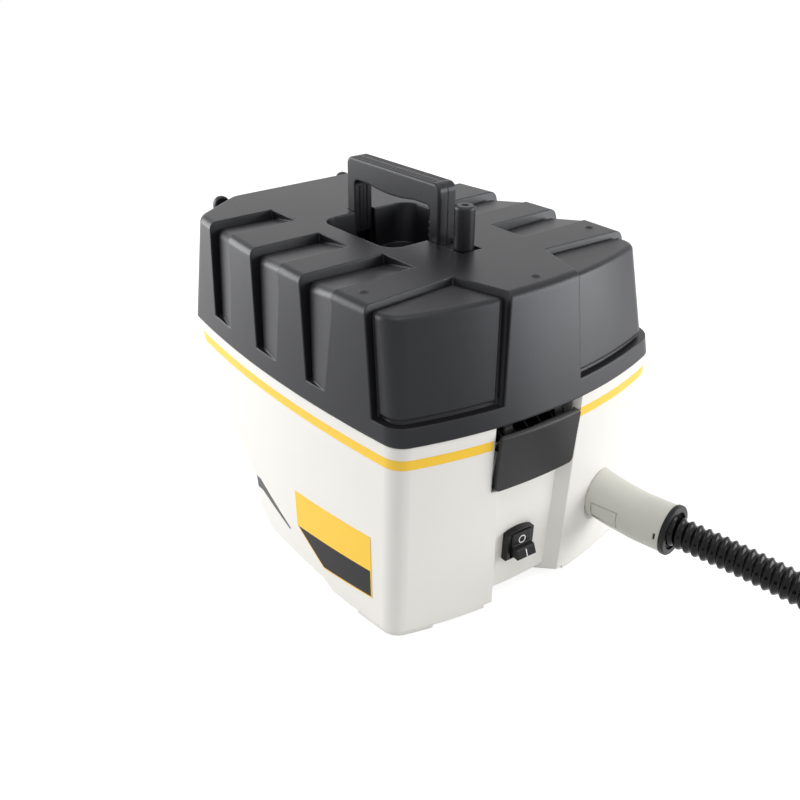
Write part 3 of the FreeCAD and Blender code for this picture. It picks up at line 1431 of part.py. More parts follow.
def impeller(label, low, blades):
    """A wheel: a hub and a disc with backswept blades."""
    radius = size("impeller_radius")
    high = size("impeller_height")
    hub = upright_bore(9, 0, 0, 0, high)
    disc = upright_bore(radius, 0, 0, 0, 1.5)
    pieces = [disc]
    for number in range(blades):
        blade = block(8, radius - 3, -0.6, 0.6, 1, high)
        turn = Rotation(Z_AXIS, 360.0 * number / blades)
        pieces.append(at_turn(blade, turn, -18))
    wheel = hub.fuse(pieces).common(upright_bore(radius, 0, 0, 0, high))
    wheel = wheel.cut(upright_bore(size("shaft_radius") + 0.02, 0, 0, -1, high + 1))
    wheel.translate(TURBINE + Z_AXIS * low)
    return shell_part(label, wheel)


def at_turn(blade, turn, sweep):
    """Swings a blade about its root, then round the hub."""
    blade.rotate(Vector(8, 0, 0), Z_AXIS, sweep)
    blade.Placement = Placement(Vector(0, 0, 0), turn).multiply(blade.Placement)
    return blade


def motor_stator():
    low = SPLIT + " + 8"
    return keep("motor_stator", on_shaft("stator", ring_outline(
        "rotor_radius + 0.7", "motor_radius", low, low + " + 18")))


def motor_rotor():
    """The wound rotor with its commutator."""
    low = SPLIT + " + 8"
    bore = "shaft_radius + 0.02"
    return keep("motor_rotor", on_shaft("rotor", [
        (bore, low), ("rotor_radius", low), ("rotor_radius", low + " + 18"), ("12", low + " + 18"),
        ("12", low + " + 25"), (bore, low + " + 25")]))


def motor_shaft():
    length = SPLIT + " + motor_height + 3 - turbine_base - 3.5"
    return keep("motor_shaft", drilled("shaft", "shaft_radius", length, 0, "turbine_y", "turbine_base + 3.5"))


def shaft_bearings():
    lows = (SPLIT, SPLIT + " + motor_height - 16")
    return group("shaft_bearings", [
        on_shaft("bearing_%d" % number, ring_outline("shaft_radius + running_gap", "bearing_radius",
                                                     low, low + " + bearing_height"))
        for number, low in enumerate(lows)])


def motor_end_cap():
    """The top of the motor, with the upper bearing's seat and the brush holders."""
    seat = "bearing_radius + 0.03"
    top = SPLIT + " + motor_height - 8"
    body = on_shaft("end_cap_body", [
        (seat, top + " - 8"), (seat + " + 2.5", top + " - 8"), (seat + " + 2.5", top + " - 3"),
        ("motor_radius + 2.5", top + " - 3"), ("motor_radius + 2.5", top), ("shaft_radius + 0.5", top),
        ("shaft_radius + 0.5", top + " - 1"), (seat, top + " - 1")])
    holders = []
    slots = []
    for side, near, far in (("front", "turbine_y - 38", "turbine_y - 14.5"),
                            ("rear", "turbine_y + 14.5", "turbine_y + 38")):
        holders.append(boxed("holder_" + side, "-5", "5", near, far, top + " - 15.5", top + " - 2"))
        slots.append(boxed("slot_" + side, "-3.1", "3.1", near + " - 2", far + " + 2",
                           top + " - 14.1", top + " - 8.9"))
    tools = slots + [round_post("cap_vent_%d" % turn, "3.5", top + " - 4", top + " + 1", "motor_radius - 9",
                                turn) for turn in (0, 40, 140, 180, 220, 320)]
    return keep("motor_end_cap", cut_from("end_cap", joined("end_cap_holders", [body] + holders), tools))


def carbon_brushes():
    low = SPLIT + " + motor_height - 22"
    return group("carbon_brushes", [
        boxed("brush_front", "-3", "3", "turbine_y - 28", "turbine_y - 12.3", low, low + " + 5"),
        boxed("brush_rear", "-3", "3", "turbine_y + 12.3", "turbine_y + 28", low, low + " + 5")])


def cooling_fan():
    """The fan on top of the motor."""
    low = SPLIT_Z + size("motor_height") - 5.5
    hub = upright_bore(10, 0, 0, 0, 6)
    rim = upright_bore(36, 0, 0, 0, 1.2)
    blades = [at_turn(block(8, 35, -0.6, 0.6, 1, 5), Rotation(Z_AXIS, 40 * number), 0)
              for number in range(9)]
    fan = hub.fuse([rim] + blades).cut(upright_bore(size("shaft_radius") + 0.02, 0, 0, -1, 8))
    fan.translate(TURBINE + Z_AXIS * low)
    return shell_part("cooling_fan", fan)


def rubber_mounts():
    return group("rubber_mounts", [
        placed(turned("rubber_mount_%d" % turn, ring_outline("screw_radius + 0.3", "mount_radius",
                                                             "post_top", "turbine_base")),
               "mount_circle * cos(%d)" % turn, "turbine_y + mount_circle * sin(%d)" % turn, 0)
        for turn in MOUNT_TURNS])


def turbine_screws():
    """Three screws into the tub's posts and four that close the housing."""
    outline = stepped_pin("screw_radius", "turbine_base - post_top + 9", "4", "3")
    screws = [placed(turned("mount_screw_%d" % turn, outline),
                     "mount_circle * cos(%d)" % turn, "turbine_y + mount_circle * sin(%d)" % turn,
                     "turbine_base + 3") for turn in MOUNT_TURNS]
    screws += [placed(turned("housing_screw_%d" % turn, stepped_pin("1.5", "8", "3", "2")),
                      "(turbine_radius + 3) * cos(%d)" % turn,
                      "turbine_y + (turbine_radius + 3) * sin(%d)" % turn,
                      SPLIT + " + 2.5") for turn in HOUSING_EARS]
    return group("turbine_screws", screws)


# ---------------------------------------------------------------- small pieces of the tub

def tray_screws():
    return group("tray_screws", [
        placed(turned("tray_screw_%d" % number, stepped_pin("screw_radius", "12", "3.8", "2.5")),
               "%g * boss_x" % math.copysign(1, x), y, "tray_seat + tray_thickness")
        for number, (x, y) in enumerate(TRAY_BOSSES)])


def mains_cord_gland():
    """The bushing in the rear wall where the mains lead comes in."""
    bore = "gland_radius - 4.4"
    gland = turned("mains_cord_gland", [
        (bore, "-12"), ("gland_radius", "-12"), ("gland_radius", "0.2"), ("gland_radius + 3", "0.2"),
        ("gland_radius + 3", "2.5"), ("gland_radius - 1.5", "4"), ("gland_radius - 2.5", "12"),
        (bore, "12")])
    gland.Placement = GLAND_PLACE
    return keep("mains_cord_gland", gland)


def terminal_block():
    """The block that joins the mains lead to the switch, on a pad on the floor."""
    low = "underside_height + tub_floor + 6"
    base = boxed("terminal_base", "-105", "-83", "-73", "-47", low, low + " + 14")
    wells = [drilled("terminal_well_%d" % number, "3", "12", "-94", "%g" % (-67 + 7 * number),
                     low + " + 6") for number in range(3)]
    return keep("terminal_block", cut_from("terminal", base, wells))


def rubber_feet():
    return group("rubber_feet", [
        placed(turned("foot_pad_%d" % number, ring_outline("0", "pad_radius", "0", "pad_thickness")),
               x, y, 0) for number, (x, y) in enumerate(FEET)])


def lid_hinge_pins():
    pins = []
    for number, way in enumerate((-1, 1)):
        length = "(knuckle_width + 2 * ear_width + 2)"
        pins.append(drilled("hinge_pin_%d" % number, "hinge_pin_radius", length,
                            "%d * hinge_spacing / 2 - %s / 2" % (way, length),
                            "overall_length / 2 - hook_reach + hinge_behind",
                            "tub_height - hinge_below", Rotation(Y_AXIS, 90)))
    return group("lid_hinge_pins", pins)


# ---------------------------------------------------------------- the whole unit

def build():
    base_housing()
    rear_intake_trim()
    filter_cover()
    air_filter()
    stripe_tape()
    side_label()
    storage_tray()
    tray_screws()
    rubber_feet()
    mains_cord_gland()
    terminal_block()
    front_latch()
    latch_bracket()
    latch_pin()
    latch_spring()
    switch_bezel()
    switch_body()
    switch_rocker()
    hose_port()
    port_seal()
    outlet_duct()
    hose_plug()
    plug_release_tab()
    hose_collar()
    air_hose()
    hose_coil()
    hose_end_connector()
    turbine_lower_housing()
    turbine_upper_housing()
    stage_diffuser()
    impeller("first_impeller", WHEEL_Z[0], 12)
    impeller("second_impeller", WHEEL_Z[1], 14)
    motor_stator()
    motor_rotor()
    motor_shaft()
    motor_end_cap()
    shaft_bearings()
    carbon_brushes()
    cooling_fan()
    rubber_mounts()
    turbine_screws()
    lid_shell()
    lid_hinge_pins()
    cord_hooks()
    handle_halves()
    handle_screws()
    release_button()
    button_spring()
    gun_holder_peg()


def check_and_write():
    doc.recompute()
    failed = [thing.Name for thing in doc.Objects if {"Invalid", "Error"} & set(thing.State)]
    for part in SUBPARTS:
        if part.Shape.isNull() or not part.Shape.isValid():
            failed.append(part.Label)
    if failed:
        raise RuntimeError("these failed: " + ", ".join(failed))
    os.makedirs("parts", exist_ok=True)
    for part in SUBPARTS:
        part.Shape.exportStep("parts/%s.step" % part.Label)
        print(part.Label, len(part.Shape.Solids), "solids, %.1f cm3" % (part.Shape.Volume / 1000))


build()
check_and_write()
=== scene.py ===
"""Paint sprayer turbine unit: its looks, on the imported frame. Metres, +Z up, the front faces -Y."""
import math

import bmesh
import bpy
import numpy as np
from mathutils import Matrix, Vector


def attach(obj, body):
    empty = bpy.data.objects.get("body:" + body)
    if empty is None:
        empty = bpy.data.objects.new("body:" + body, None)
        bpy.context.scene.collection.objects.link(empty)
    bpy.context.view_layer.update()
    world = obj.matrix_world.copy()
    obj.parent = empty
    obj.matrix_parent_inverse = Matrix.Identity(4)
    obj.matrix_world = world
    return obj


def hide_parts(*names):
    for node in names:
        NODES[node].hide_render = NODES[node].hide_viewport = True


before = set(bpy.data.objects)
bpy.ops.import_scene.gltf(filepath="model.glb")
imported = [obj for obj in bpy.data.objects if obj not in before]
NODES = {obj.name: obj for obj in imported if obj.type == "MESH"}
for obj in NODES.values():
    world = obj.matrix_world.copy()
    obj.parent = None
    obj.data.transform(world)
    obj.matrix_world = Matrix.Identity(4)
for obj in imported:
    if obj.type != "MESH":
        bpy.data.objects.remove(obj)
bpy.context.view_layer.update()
MM = 0.001


# ---------------------------------------------------------------- camera

def aim(thing, target):
    """Turns a camera or lamp so that it looks at a point."""
    thing.rotation_euler = (Vector(target) - thing.location).to_track_quat("-Z", "Y").to_euler()


def studio_camera():
    """The camera at the photograph's viewing angle."""
    camera = bpy.data.objects.new("camera", bpy.data.cameras.new("camera"))
    bpy.context.scene.collection.objects.link(camera)
    camera.location = (-0.5127, -0.6246, 0.5303)
    aim(camera, (-0.03303, -0.01801, 0.125))
    camera.data.sensor_width = 36.0
    camera.data.lens = 43.695
    camera.data.shift_x = 0.0139
    camera.data.shift_y = -0.0044
    camera.data.clip_start = 0.01
    camera.data.clip_end = 50
    bpy.context.scene.camera = camera


# ---------------------------------------------------------------- hose

HOSE_RADIUS = 13.5 * MM
PORT = Vector((69.0, -181.19, 59.4)) * MM
PORT_TURN = 9.8    # degrees from straight ahead
PORT_WAY = Vector((math.sin(math.radians(PORT_TURN)), -math.cos(math.radians(PORT_TURN)), 0))
PORT_SIDE = Vector((math.cos(math.radians(PORT_TURN)), math.sin(math.radians(PORT_TURN)), 0))
RIB_PITCH = 7.4 * MM
RIB_DEPTH = 2.4 * MM
STEPS_PER_RIB = 7
SIDES_AROUND = 28
WOUND = 1469    # degrees that the coil turns in all
ON_FLOOR = 720    # of them on the floor, the rest on top
CLIMB_FROM, CLIMB_OVER = 690, 52
COIL_RADIUS = 148.5 * MM
LANE = 27 * MM


def along_port(distance, height=None):
    """A point that many millimetres out along the plug's way, or at a height over the floor."""
    point = PORT + PORT_WAY * distance * MM
    if height is not None:
        point.z = height
    return point


def coil_place(centre, wound):
    """A point on the coil: two turns inwards on the floor, then outwards on top of them."""
    if wound <= ON_FLOOR:
        radius = COIL_RADIUS - LANE * wound / 360
    else:
        radius = COIL_RADIUS - 2 * LANE + LANE * (wound - ON_FLOOR) / 360
    climb = min(max((wound - CLIMB_FROM) / CLIMB_OVER, 0), 1)
    climb = climb * climb * (3 - 2 * climb)
    angle = math.radians(PORT_TURN - wound)
    return centre + Vector((radius * math.cos(angle), radius * math.sin(angle), LANE * climb))


def hose_control_points():
    """The hose's route: out of the plug, down to the floor, then the coil."""
    route = [along_port(62), along_port(207), along_port(347, HOSE_RADIUS), along_port(440, HOSE_RADIUS)]
    centre = route[-1] - PORT_SIDE * COIL_RADIUS
    step = 18
    wound = step
    while wound < WOUND:
        place = coil_place(centre, wound)
        outward = (place - centre) * (1 / math.cos(math.radians(step) / 2) ** 1.5 - 1)
        outward.z = 0
        route.append(place + outward)
        wound += step
    route.append(coil_place(centre, WOUND))
    return route


def spline_points(control):
    """Points read from the smooth line that the control points give."""
    curve = bpy.data.curves.new("hose_line", "CURVE")
    curve.dimensions = "3D"
    curve.resolution_u = 24
    spline = curve.splines.new("NURBS")
    spline.points.add(len(control) - 1)
    for point, place in zip(spline.points, control):
        point.co = (*place, 1)
    spline.order_u = 3
    spline.use_endpoint_u = True
    holder = bpy.data.objects.new("hose_line", curve)
    bpy.context.scene.collection.objects.link(holder)
    bpy.context.view_layer.update()
    mesh = bpy.data.meshes.new_from_object(holder)
    points = np.array([v.co for v in mesh.vertices])
    bpy.data.meshes.remove(mesh)
    bpy.data.objects.remove(holder)
    bpy.data.curves.remove(curve)
    return points


def at_even_steps(points, step):
    """The same line with its points an even step apart."""
    runs = np.linalg.norm(np.diff(points, axis=0), axis=1)
    ways = np.concatenate([[0], np.cumsum(runs)])
    count = max(2, int(round(ways[-1] / step)) + 1)
    asked = np.linspace(0, ways[-1], count)
    return np.stack([np.interp(asked, ways, points[:, k]) for k in range(3)], axis=1)


def corrugated_hose():
    """A tube with a screw-shaped rib all along it."""
    points = at_even_steps(spline_points(hose_control_points()), RIB_PITCH / STEPS_PER_RIB)
    way = np.gradient(points, axis=0)
    way /= np.linalg.norm(way, axis=1)[:, None]
    side = Vector((0, 0, 1)).cross(Vector(way[0])).normalized()
    bm = bmesh.new()
    rings = []
    last = Vector(way[0])
    distance = 0.0
    for k, (place, along) in enumerate(zip(points, way)):
        along = Vector(along)
        side.rotate(last.rotation_difference(along))
        side = (side - along * side.dot(along)).normalized()
        last = along
        up = along.cross(side)
        if k:
            distance += float(np.linalg.norm(points[k] - points[k - 1]))
        ring = []
        for n in range(SIDES_AROUND):
            turn = 2 * math.pi * n / SIDES_AROUND
            phase = 2 * math.pi * (distance / RIB_PITCH - n / SIDES_AROUND)
            swell = (0.5 + 0.5 * math.cos(phase)) ** 1.2
            radius = HOSE_RADIUS - RIB_DEPTH + RIB_DEPTH * swell
            spoke = side * math.cos(turn) + up * math.sin(turn)
            ring.append(bm.verts.new(Vector(place) + spoke * radius))
        rings.append(ring)
    for near, far in zip(rings, rings[1:]):
        for n in range(SIDES_AROUND):
            m = (n + 1) % SIDES_AROUND
            bm.faces.new((near[n], near[m], far[m], far[n]))
    bm.faces.new(list(reversed(rings[0])))
    bm.faces.new(rings[-1])
    mesh = bpy.data.meshes.new("corrugated_hose")
    bm.to_mesh(mesh)
    bm.free()
    mesh.shade_smooth()
    hose = bpy.data.objects.new("corrugated_hose", mesh)
    bpy.context.scene.collection.objects.link(hose)
    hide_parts("air_hose", "hose_coil")
    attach(hose, "base")
    hose.data.materials.append(MATERIALS["gloss_black"])


# ---------------------------------------------------------------- materials

def linear(r, g, b):
    """A colour given by its screen values, 0 to 255."""
    def one(v):
        v /= 255
        return v / 12.92 if v <= 0.04045 else ((v + 0.055) / 1.055) ** 2.4
    return (one(r), one(g), one(b), 1)


def new_group(name, inputs, outputs):
    """An empty node group with its named sockets."""
    group = bpy.data.node_groups.new(name, "ShaderNodeTree")
    for label, kind, value in inputs:
        socket = group.interface.new_socket(label, in_out="INPUT", socket_type=kind)
        socket.default_value = value
    for label, kind in outputs:
        group.interface.new_socket(label, in_out="OUTPUT", socket_type=kind)
    return group, group.nodes.new("NodeGroupInput"), group.nodes.new("NodeGroupOutput")


def moulded_grain_group():
    """Fine spark grain and a slow waviness of moulded plastic."""
    group, given, out = new_group("moulded_grain", [
        ("Scale", "NodeSocketFloat", 900.0), ("Wave", "NodeSocketFloat", 0.35)],
        [("Height", "NodeSocketFloat"), ("Tone", "NodeSocketFloat")])
    nodes, links = group.nodes, group.links
    place = nodes.new("ShaderNodeTexCoord")
    fine = nodes.new("ShaderNodeTexNoise")
    fine.inputs["Detail"].default_value = 2
    slow = nodes.new("ShaderNodeTexNoise")
    slow.inputs["Scale"].default_value = 9
    slow.inputs["Detail"].default_value = 3
    links.new(place.outputs["Object"], fine.inputs["Vector"])
    links.new(place.outputs["Object"], slow.inputs["Vector"])
    links.new(given.outputs["Scale"], fine.inputs["Scale"])
    blend = nodes.new("ShaderNodeMath")
    blend.operation = "MULTIPLY_ADD"
    links.new(slow.outputs["Fac"], blend.inputs[0])
    links.new(given.outputs["Wave"], blend.inputs[1])
    links.new(fine.outputs["Fac"], blend.inputs[2])
    links.new(blend.outputs[0], out.inputs["Height"])
    links.new(slow.outputs["Fac"], out.inputs["Tone"])
    return group


def edge_mask_group():
    """White along sharp edges: a painted highlight where mouldings catch the light, and rubbed wear."""
    group, given, out = new_group("rubbed_and_highlit_edges", [("Radius", "NodeSocketFloat", 0.0012),
                                                   ("Patchiness", "NodeSocketFloat", 0.5)],
                                  [("Edge", "NodeSocketFloat"), ("Normal", "NodeSocketVector")])
    nodes, links = group.nodes, group.links
    bevel = nodes.new("ShaderNodeBevel")
    bevel.samples = 6
    links.new(given.outputs["Radius"], bevel.inputs["Radius"])
    plain = nodes.new("ShaderNodeNewGeometry")
    dot = nodes.new("ShaderNodeVectorMath")
    dot.operation = "DOT_PRODUCT"
    links.new(bevel.outputs["Normal"], dot.inputs[0])
    links.new(plain.outputs["Normal"], dot.inputs[1])
    spread = nodes.new("ShaderNodeMapRange")
    spread.inputs["From Min"].default_value = 0.98
    spread.inputs["From Max"].default_value = 0.75
    links.new(dot.outputs["Value"], spread.inputs["Value"])
    place = nodes.new("ShaderNodeTexCoord")
    patches = nodes.new("ShaderNodeTexNoise")
    patches.inputs["Scale"].default_value = 60
    links.new(place.outputs["Object"], patches.inputs["Vector"])
    fade = nodes.new("ShaderNodeMix")
    fade.data_type = "FLOAT"
    fade.inputs[2].default_value = 1
    links.new(given.outputs["Patchiness"], fade.inputs[0])
    links.new(patches.outputs["Fac"], fade.inputs[3])
    mask = nodes.new("ShaderNodeMath")
    mask.operation = "MULTIPLY"
    links.new(spread.outputs["Result"], mask.inputs[0])
    links.new(fade.outputs[0], mask.inputs[1])
    links.new(mask.outputs[0], out.inputs["Edge"])
    links.new(bevel.outputs["Normal"], out.inputs["Normal"])
    return group


GROUPS = {"grain": moulded_grain_group(), "edges": edge_mask_group()}


def moulded(name, colour, roughness=0.45, grain=900, depth=0.05, edge=0.0012, wear_and_highlight=0.12, tone=0.06,
            metallic=0.0, specular=0.5, tint=(1, 1, 1)):
    """A moulded or cast surface: grain, slow tone changes, softened edges that are a little worn and
    carry a painted highlight.
    """
    material = bpy.data.materials.new(name)
    material.use_nodes = True
    nodes, links = material.node_tree.nodes, material.node_tree.links
    shader = nodes["Principled BSDF"]
    shader.inputs["Metallic"].default_value = metallic
    shader.inputs["Specular IOR Level"].default_value = specular
    shader.inputs["Specular Tint"].default_value = (*tint, 1)
    texture = nodes.new("ShaderNodeGroup")
    texture.node_tree = GROUPS["grain"]
    texture.inputs["Scale"].default_value = grain
    edges = nodes.new("ShaderNodeGroup")
    edges.node_tree = GROUPS["edges"]
    edges.inputs["Radius"].default_value = edge
    shade = nodes.new("ShaderNodeMix")
    shade.data_type = "RGBA"
    shade.inputs[6].default_value = [c * (1 - tone) for c in colour[:3]] + [1]
    shade.inputs[7].default_value = [min(1, c * (1 + tone)) for c in colour[:3]] + [1]
    links.new(texture.outputs["Tone"], shade.inputs[0])
    # Painted highlight and wear: the base colour is lighter along sharp edges.
    rub_and_highlight = nodes.new("ShaderNodeMix")
    rub_and_highlight.data_type = "RGBA"
    rub_and_highlight.inputs[7].default_value = [min(1, c * 1.25 + 0.02) for c in colour[:3]] + [1]
    amount = nodes.new("ShaderNodeMath")
    amount.operation = "MULTIPLY"
    amount.inputs[1].default_value = wear_and_highlight
    links.new(edges.outputs["Edge"], amount.inputs[0])
    links.new(amount.outputs[0], rub_and_highlight.inputs[0])
    links.new(shade.outputs[2], rub_and_highlight.inputs[6])
    links.new(rub_and_highlight.outputs[2], shader.inputs["Base Color"])
    gloss = nodes.new("ShaderNodeMapRange")
    gloss.inputs["To Min"].default_value = roughness - 0.05
    gloss.inputs["To Max"].default_value = roughness + 0.07
    links.new(texture.outputs["Height"], gloss.inputs["Value"])
    links.new(gloss.outputs["Result"], shader.inputs["Roughness"])
    bump = nodes.new("ShaderNodeBump")
    bump.inputs["Strength"].default_value = depth
    bump.inputs["Distance"].default_value = 0.0004
    links.new(texture.outputs["Height"], bump.inputs["Height"])
    links.new(edges.outputs["Normal"], bump.inputs["Normal"])
    links.new(bump.outputs["Normal"], shader.inputs["Normal"])
    return material


def label_film(name, outline, split, border, upper, lower):
    """A two-tone label: one colour above a slanted line, one below, with a border in the upper one.

    outline and split are points as (y, z) in metres, seen from the left side of the unit."""
    material = moulded(name, upper, 0.35, 1200, 0.02, 0.0004, 0.0, 0.01, specular=0.16)
    nodes, links = material.node_tree.nodes, material.node_tree.links
    place = nodes.new("ShaderNodeTexCoord").outputs["Object"]

    def distance_from(first, second):
        """How far a point is from a line, on the left of its way."""
        along = Vector(second) - Vector(first)
        normal = Vector((0, -along.y, along.x)).normalized()
        dot = nodes.new("ShaderNodeVectorMath")
        dot.operation = "DOT_PRODUCT"
        dot.inputs[1].default_value = normal
        links.new(place, dot.inputs[0])
        away = nodes.new("ShaderNodeMath")
        away.operation = "SUBTRACT"
        away.inputs[1].default_value = normal.dot(Vector((0, *first)))
        links.new(dot.outputs["Value"], away.inputs[0])
        return away.outputs[0]

    def test(value, kind, limit):
        node = nodes.new("ShaderNodeMath")
        node.operation = kind
        node.inputs[1].default_value = limit
        links.new(value, node.inputs[0])
        return node.outputs[0]

    nearest = None
    for first, second in zip(outline, outline[1:] + outline[:1]):
        edge = distance_from(first, second)
        if nearest is not None:
            smaller = nodes.new("ShaderNodeMath")
            smaller.operation = "MINIMUM"
            links.new(nearest, smaller.inputs[0])
            links.new(edge, smaller.inputs[1])
            edge = smaller.outputs[0]
        nearest = edge
    below = nodes.new("ShaderNodeMath")
    below.operation = "MULTIPLY"
    links.new(test(distance_from(*split), "LESS_THAN", 0), below.inputs[0])
    links.new(test(nearest, "GREATER_THAN", border), below.inputs[1])
    print_mix = nodes.new("ShaderNodeMix")
    print_mix.data_type = "RGBA"
    print_mix.inputs[7].default_value = lower
    links.new(below.outputs[0], print_mix.inputs[0])
    shader = nodes["Principled BSDF"]
    links.new(shader.inputs["Base Color"].links[0].from_socket, print_mix.inputs[6])
    links.new(print_mix.outputs[2], shader.inputs["Base Color"])
    return material


LABEL_OUTLINE = [(-36.6 * MM, 81 * MM), (-136.5 * MM, 87.6 * MM), (-137.5 * MM, 29 * MM),
                 (-75 * MM, 22.5 * MM), (-37.5 * MM, 46.5 * MM)]
LABEL_SPLIT = [(-136 * MM, 55 * MM), (-37.5 * MM, 46.5 * MM)]
LABEL_BORDER = 1.1 * MM

MATERIALS = {
    "white": moulded("warm_white_plastic", linear(236, 234, 229), 0.42, 1100, 0.03, 0.0016, 0.0, 0.012),
    "charcoal": moulded("charcoal_plastic", linear(24, 24, 27), 0.32, 900, 0.10, 0.0020, 0.10, 0.05,
                        specular=0.37, tint=(0.93, 0.95, 1.0)),
    "black": moulded("black_plastic", linear(22, 22, 23), 0.34, 900, 0.08, 0.0009, 0.10, 0.05,
                     specular=0.24),
    "latch": moulded("latch_black_plastic", linear(40, 40, 41), 0.36, 1000, 0.08, 0.0009, 0.08, 0.05,
                     specular=0.26),
    "dark_grey": moulded("dark_grey_plastic", linear(84, 84, 86), 0.5, 900, 0.08, 0.0008, 0.1, 0.05),
    "light_grey": moulded("light_grey_plastic", linear(205, 205, 197), 0.40, 1000, 0.04, 0.0012, 0.05,
                          0.015),
    "gloss_black": moulded("gloss_black_plastic", linear(10, 10, 11), 0.16, 700, 0.03, 0.0004, 0.05, 0.1,
                           specular=0.22),
    "yellow": moulded("yellow_film", linear(252, 205, 50), 0.35, 1200, 0.02, 0.0004, 0.0, 0.01),
    "label": label_film("label_film", LABEL_OUTLINE, LABEL_SPLIT, LABEL_BORDER, linear(252, 207, 76),
                        linear(38, 36, 38)),
    "mark": moulded("white_print", linear(238, 238, 236), 0.45, 1200, 0.02, 0.0002, 0.0, 0.01),
    "rubber": moulded("black_rubber", linear(34, 34, 35), 0.75, 500, 0.2, 0.0008, 0.2, 0.1),
    "tray": moulded("grey_tray_plastic", linear(128, 128, 130), 0.5, 900, 0.08, 0.001, 0.1, 0.04),
    "foam": moulded("filter_foam", linear(90, 92, 92), 0.9, 260, 1.0, 0.001, 0.3, 0.2),
    "steel": moulded("zinc_plated_steel", linear(186, 186, 184), 0.3, 400, 0.1, 0.0004, 0.2, 0.08,
                     metallic=1.0),
    "aluminium": moulded("cast_aluminium", linear(190, 191, 193), 0.42, 300, 0.2, 0.0007, 0.2, 0.08,
                         metallic=1.0),
    "lamination": moulded("dark_laminations", linear(110, 105, 102), 0.5, 200, 0.3, 0.0006, 0.2, 0.15,
                          metallic=0.8),
    "copper": moulded("wound_copper", linear(184, 110, 66), 0.35, 150, 0.5, 0.0006, 0.2, 0.15,
                      metallic=1.0),
    "carbon": moulded("pressed_carbon", linear(50, 50, 52), 0.6, 500, 0.2, 0.0004, 0.3, 0.1),
}

FINISHES = {
    "white": ["base_housing"],
    "charcoal": ["lid_shell", "gun_holder_peg", "cord_hooks", "handle_left_half", "handle_right_half"],
    "black": ["latch_bracket", "switch_bezel", "switch_body", "switch_rocker", "motor_end_cap",
              "mains_cord_gland", "hose_collar", "handle_release_button", "cooling_fan"],
    "latch": ["front_latch"],
    "dark_grey": ["rear_intake_trim", "filter_cover"],
    "light_grey": ["hose_port", "hose_plug", "plug_release_tab", "hose_end_connector", "terminal_block"],
    "yellow": ["stripe_tape"],
    "label": ["side_label"],
    "rubber": ["rubber_feet", "rubber_mounts", "port_seal", "outlet_duct"],
    "tray": ["storage_tray"],
    "foam": ["air_filter"],
    "steel": ["latch_pin", "latch_spring", "tray_screws", "lid_hinge_pins", "handle_screws",
              "button_spring", "motor_shaft", "shaft_bearings", "turbine_screws"],
    "aluminium": ["turbine_lower_housing", "turbine_upper_housing", "stage_diffuser", "first_impeller",
                  "second_impeller"],
    "lamination": ["motor_stator"],
    "copper": ["motor_rotor"],
    "carbon": ["carbon_brushes"],
    "gloss_black": ["air_hose", "hose_coil"],
}


def dress_nodes():
    """Gives each carried-over node its finish."""
    for finish, names in FINISHES.items():
        for name in names:
            node = NODES[name]
            node.data.materials.clear()
            node.data.materials.append(MATERIALS[finish])


# ---------------------------------------------------------------- switch

ROCKER_PIVOT = Vector((-25.587, -174.813, 55.556)) * MM
ROCKER_TURN = (Matrix.Rotation(math.asin(-25.7 / 410), 4, "Z")
               @ Matrix.Rotation(math.atan(5.5 / 178) - math.radians(10), 4, "X"))


def shown(name, bm, finish, body):
    """Makes a piece of a finished mesh, with its finish, on a body."""
    bmesh.ops.recalc_face_normals(bm, faces=bm.faces)
    mesh = bpy.data.meshes.new(name)
    bm.to_mesh(mesh)
    bm.free()
    piece = bpy.data.objects.new(name, mesh)
    bpy.context.scene.collection.objects.link(piece)
    piece.data.materials.append(MATERIALS[finish])
    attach(piece, body)
    return piece


def on_rocker(place, tilt):
    """The way from a flat mark to its place on one of the rocker's faces."""
    return (Matrix.Translation(ROCKER_PIVOT) @ ROCKER_TURN @ Matrix.Translation(Vector(place) * MM)
            @ Matrix.Rotation(math.radians(90 + tilt), 4, "X"))


def raised(bm, height):
    """Gives a flat print its thickness."""
    grown = bmesh.ops.extrude_face_region(bm, geom=bm.faces[:])
    corners = [v for v in grown["geom"] if isinstance(v, bmesh.types.BMVert)]
    bmesh.ops.translate(bm, vec=(0, 0, height), verts=corners)


PRINT_THICKNESS = 0.12 * MM
RING_RADIUS, RING_WIDTH = 3.7 * MM, 0.95 * MM
BAR_SIZE = (1.0 * MM, 6.2 * MM, 1)
ROCKER_PROFILE = [(-11.2, 10.6), (-9.6, -1.0), (-14.0, -2.6), (-16.2, -11.2), (-1, -8.8), (3, -4), (3, 4),
                  (-1, 8.8)]
OFF_PLACE, OFF_TILT = (0, -10.24, 3.4), 7.85
ON_PLACE, ON_TILT = (0, -15.26, -7.3), -14.4
ROCKER_ROUNDING = 1.1 * MM
ROCKER_WIDTH = 20 * MM


def rocker_key():
    """The rocker: its pressed upper half and, below a step, the half that stands out."""
    half_width = ROCKER_WIDTH / 2
    bm = bmesh.new()
    corners = [bm.verts.new((-half_width, y * MM, z * MM)) for y, z in ROCKER_PROFILE]
    side = bm.faces.new(corners)
    grown = bmesh.ops.extrude_face_region(bm, geom=[side])
    far = [v for v in grown["geom"] if isinstance(v, bmesh.types.BMVert)]
    bmesh.ops.translate(bm, vec=(ROCKER_WIDTH, 0, 0), verts=far)
    front = [e for e in bm.edges if all(v.co.y < -9 * MM for v in e.verts)]
    bmesh.ops.bevel(bm, geom=front, offset=ROCKER_ROUNDING, segments=4, profile=0.5, affect="EDGES",
                    material=-1)
    bmesh.ops.transform(bm, matrix=Matrix.Translation(ROCKER_PIVOT) @ ROCKER_TURN, verts=bm.verts)
    key = shown("rocker_key", bm, "black", "rocker")
    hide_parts("switch_rocker")


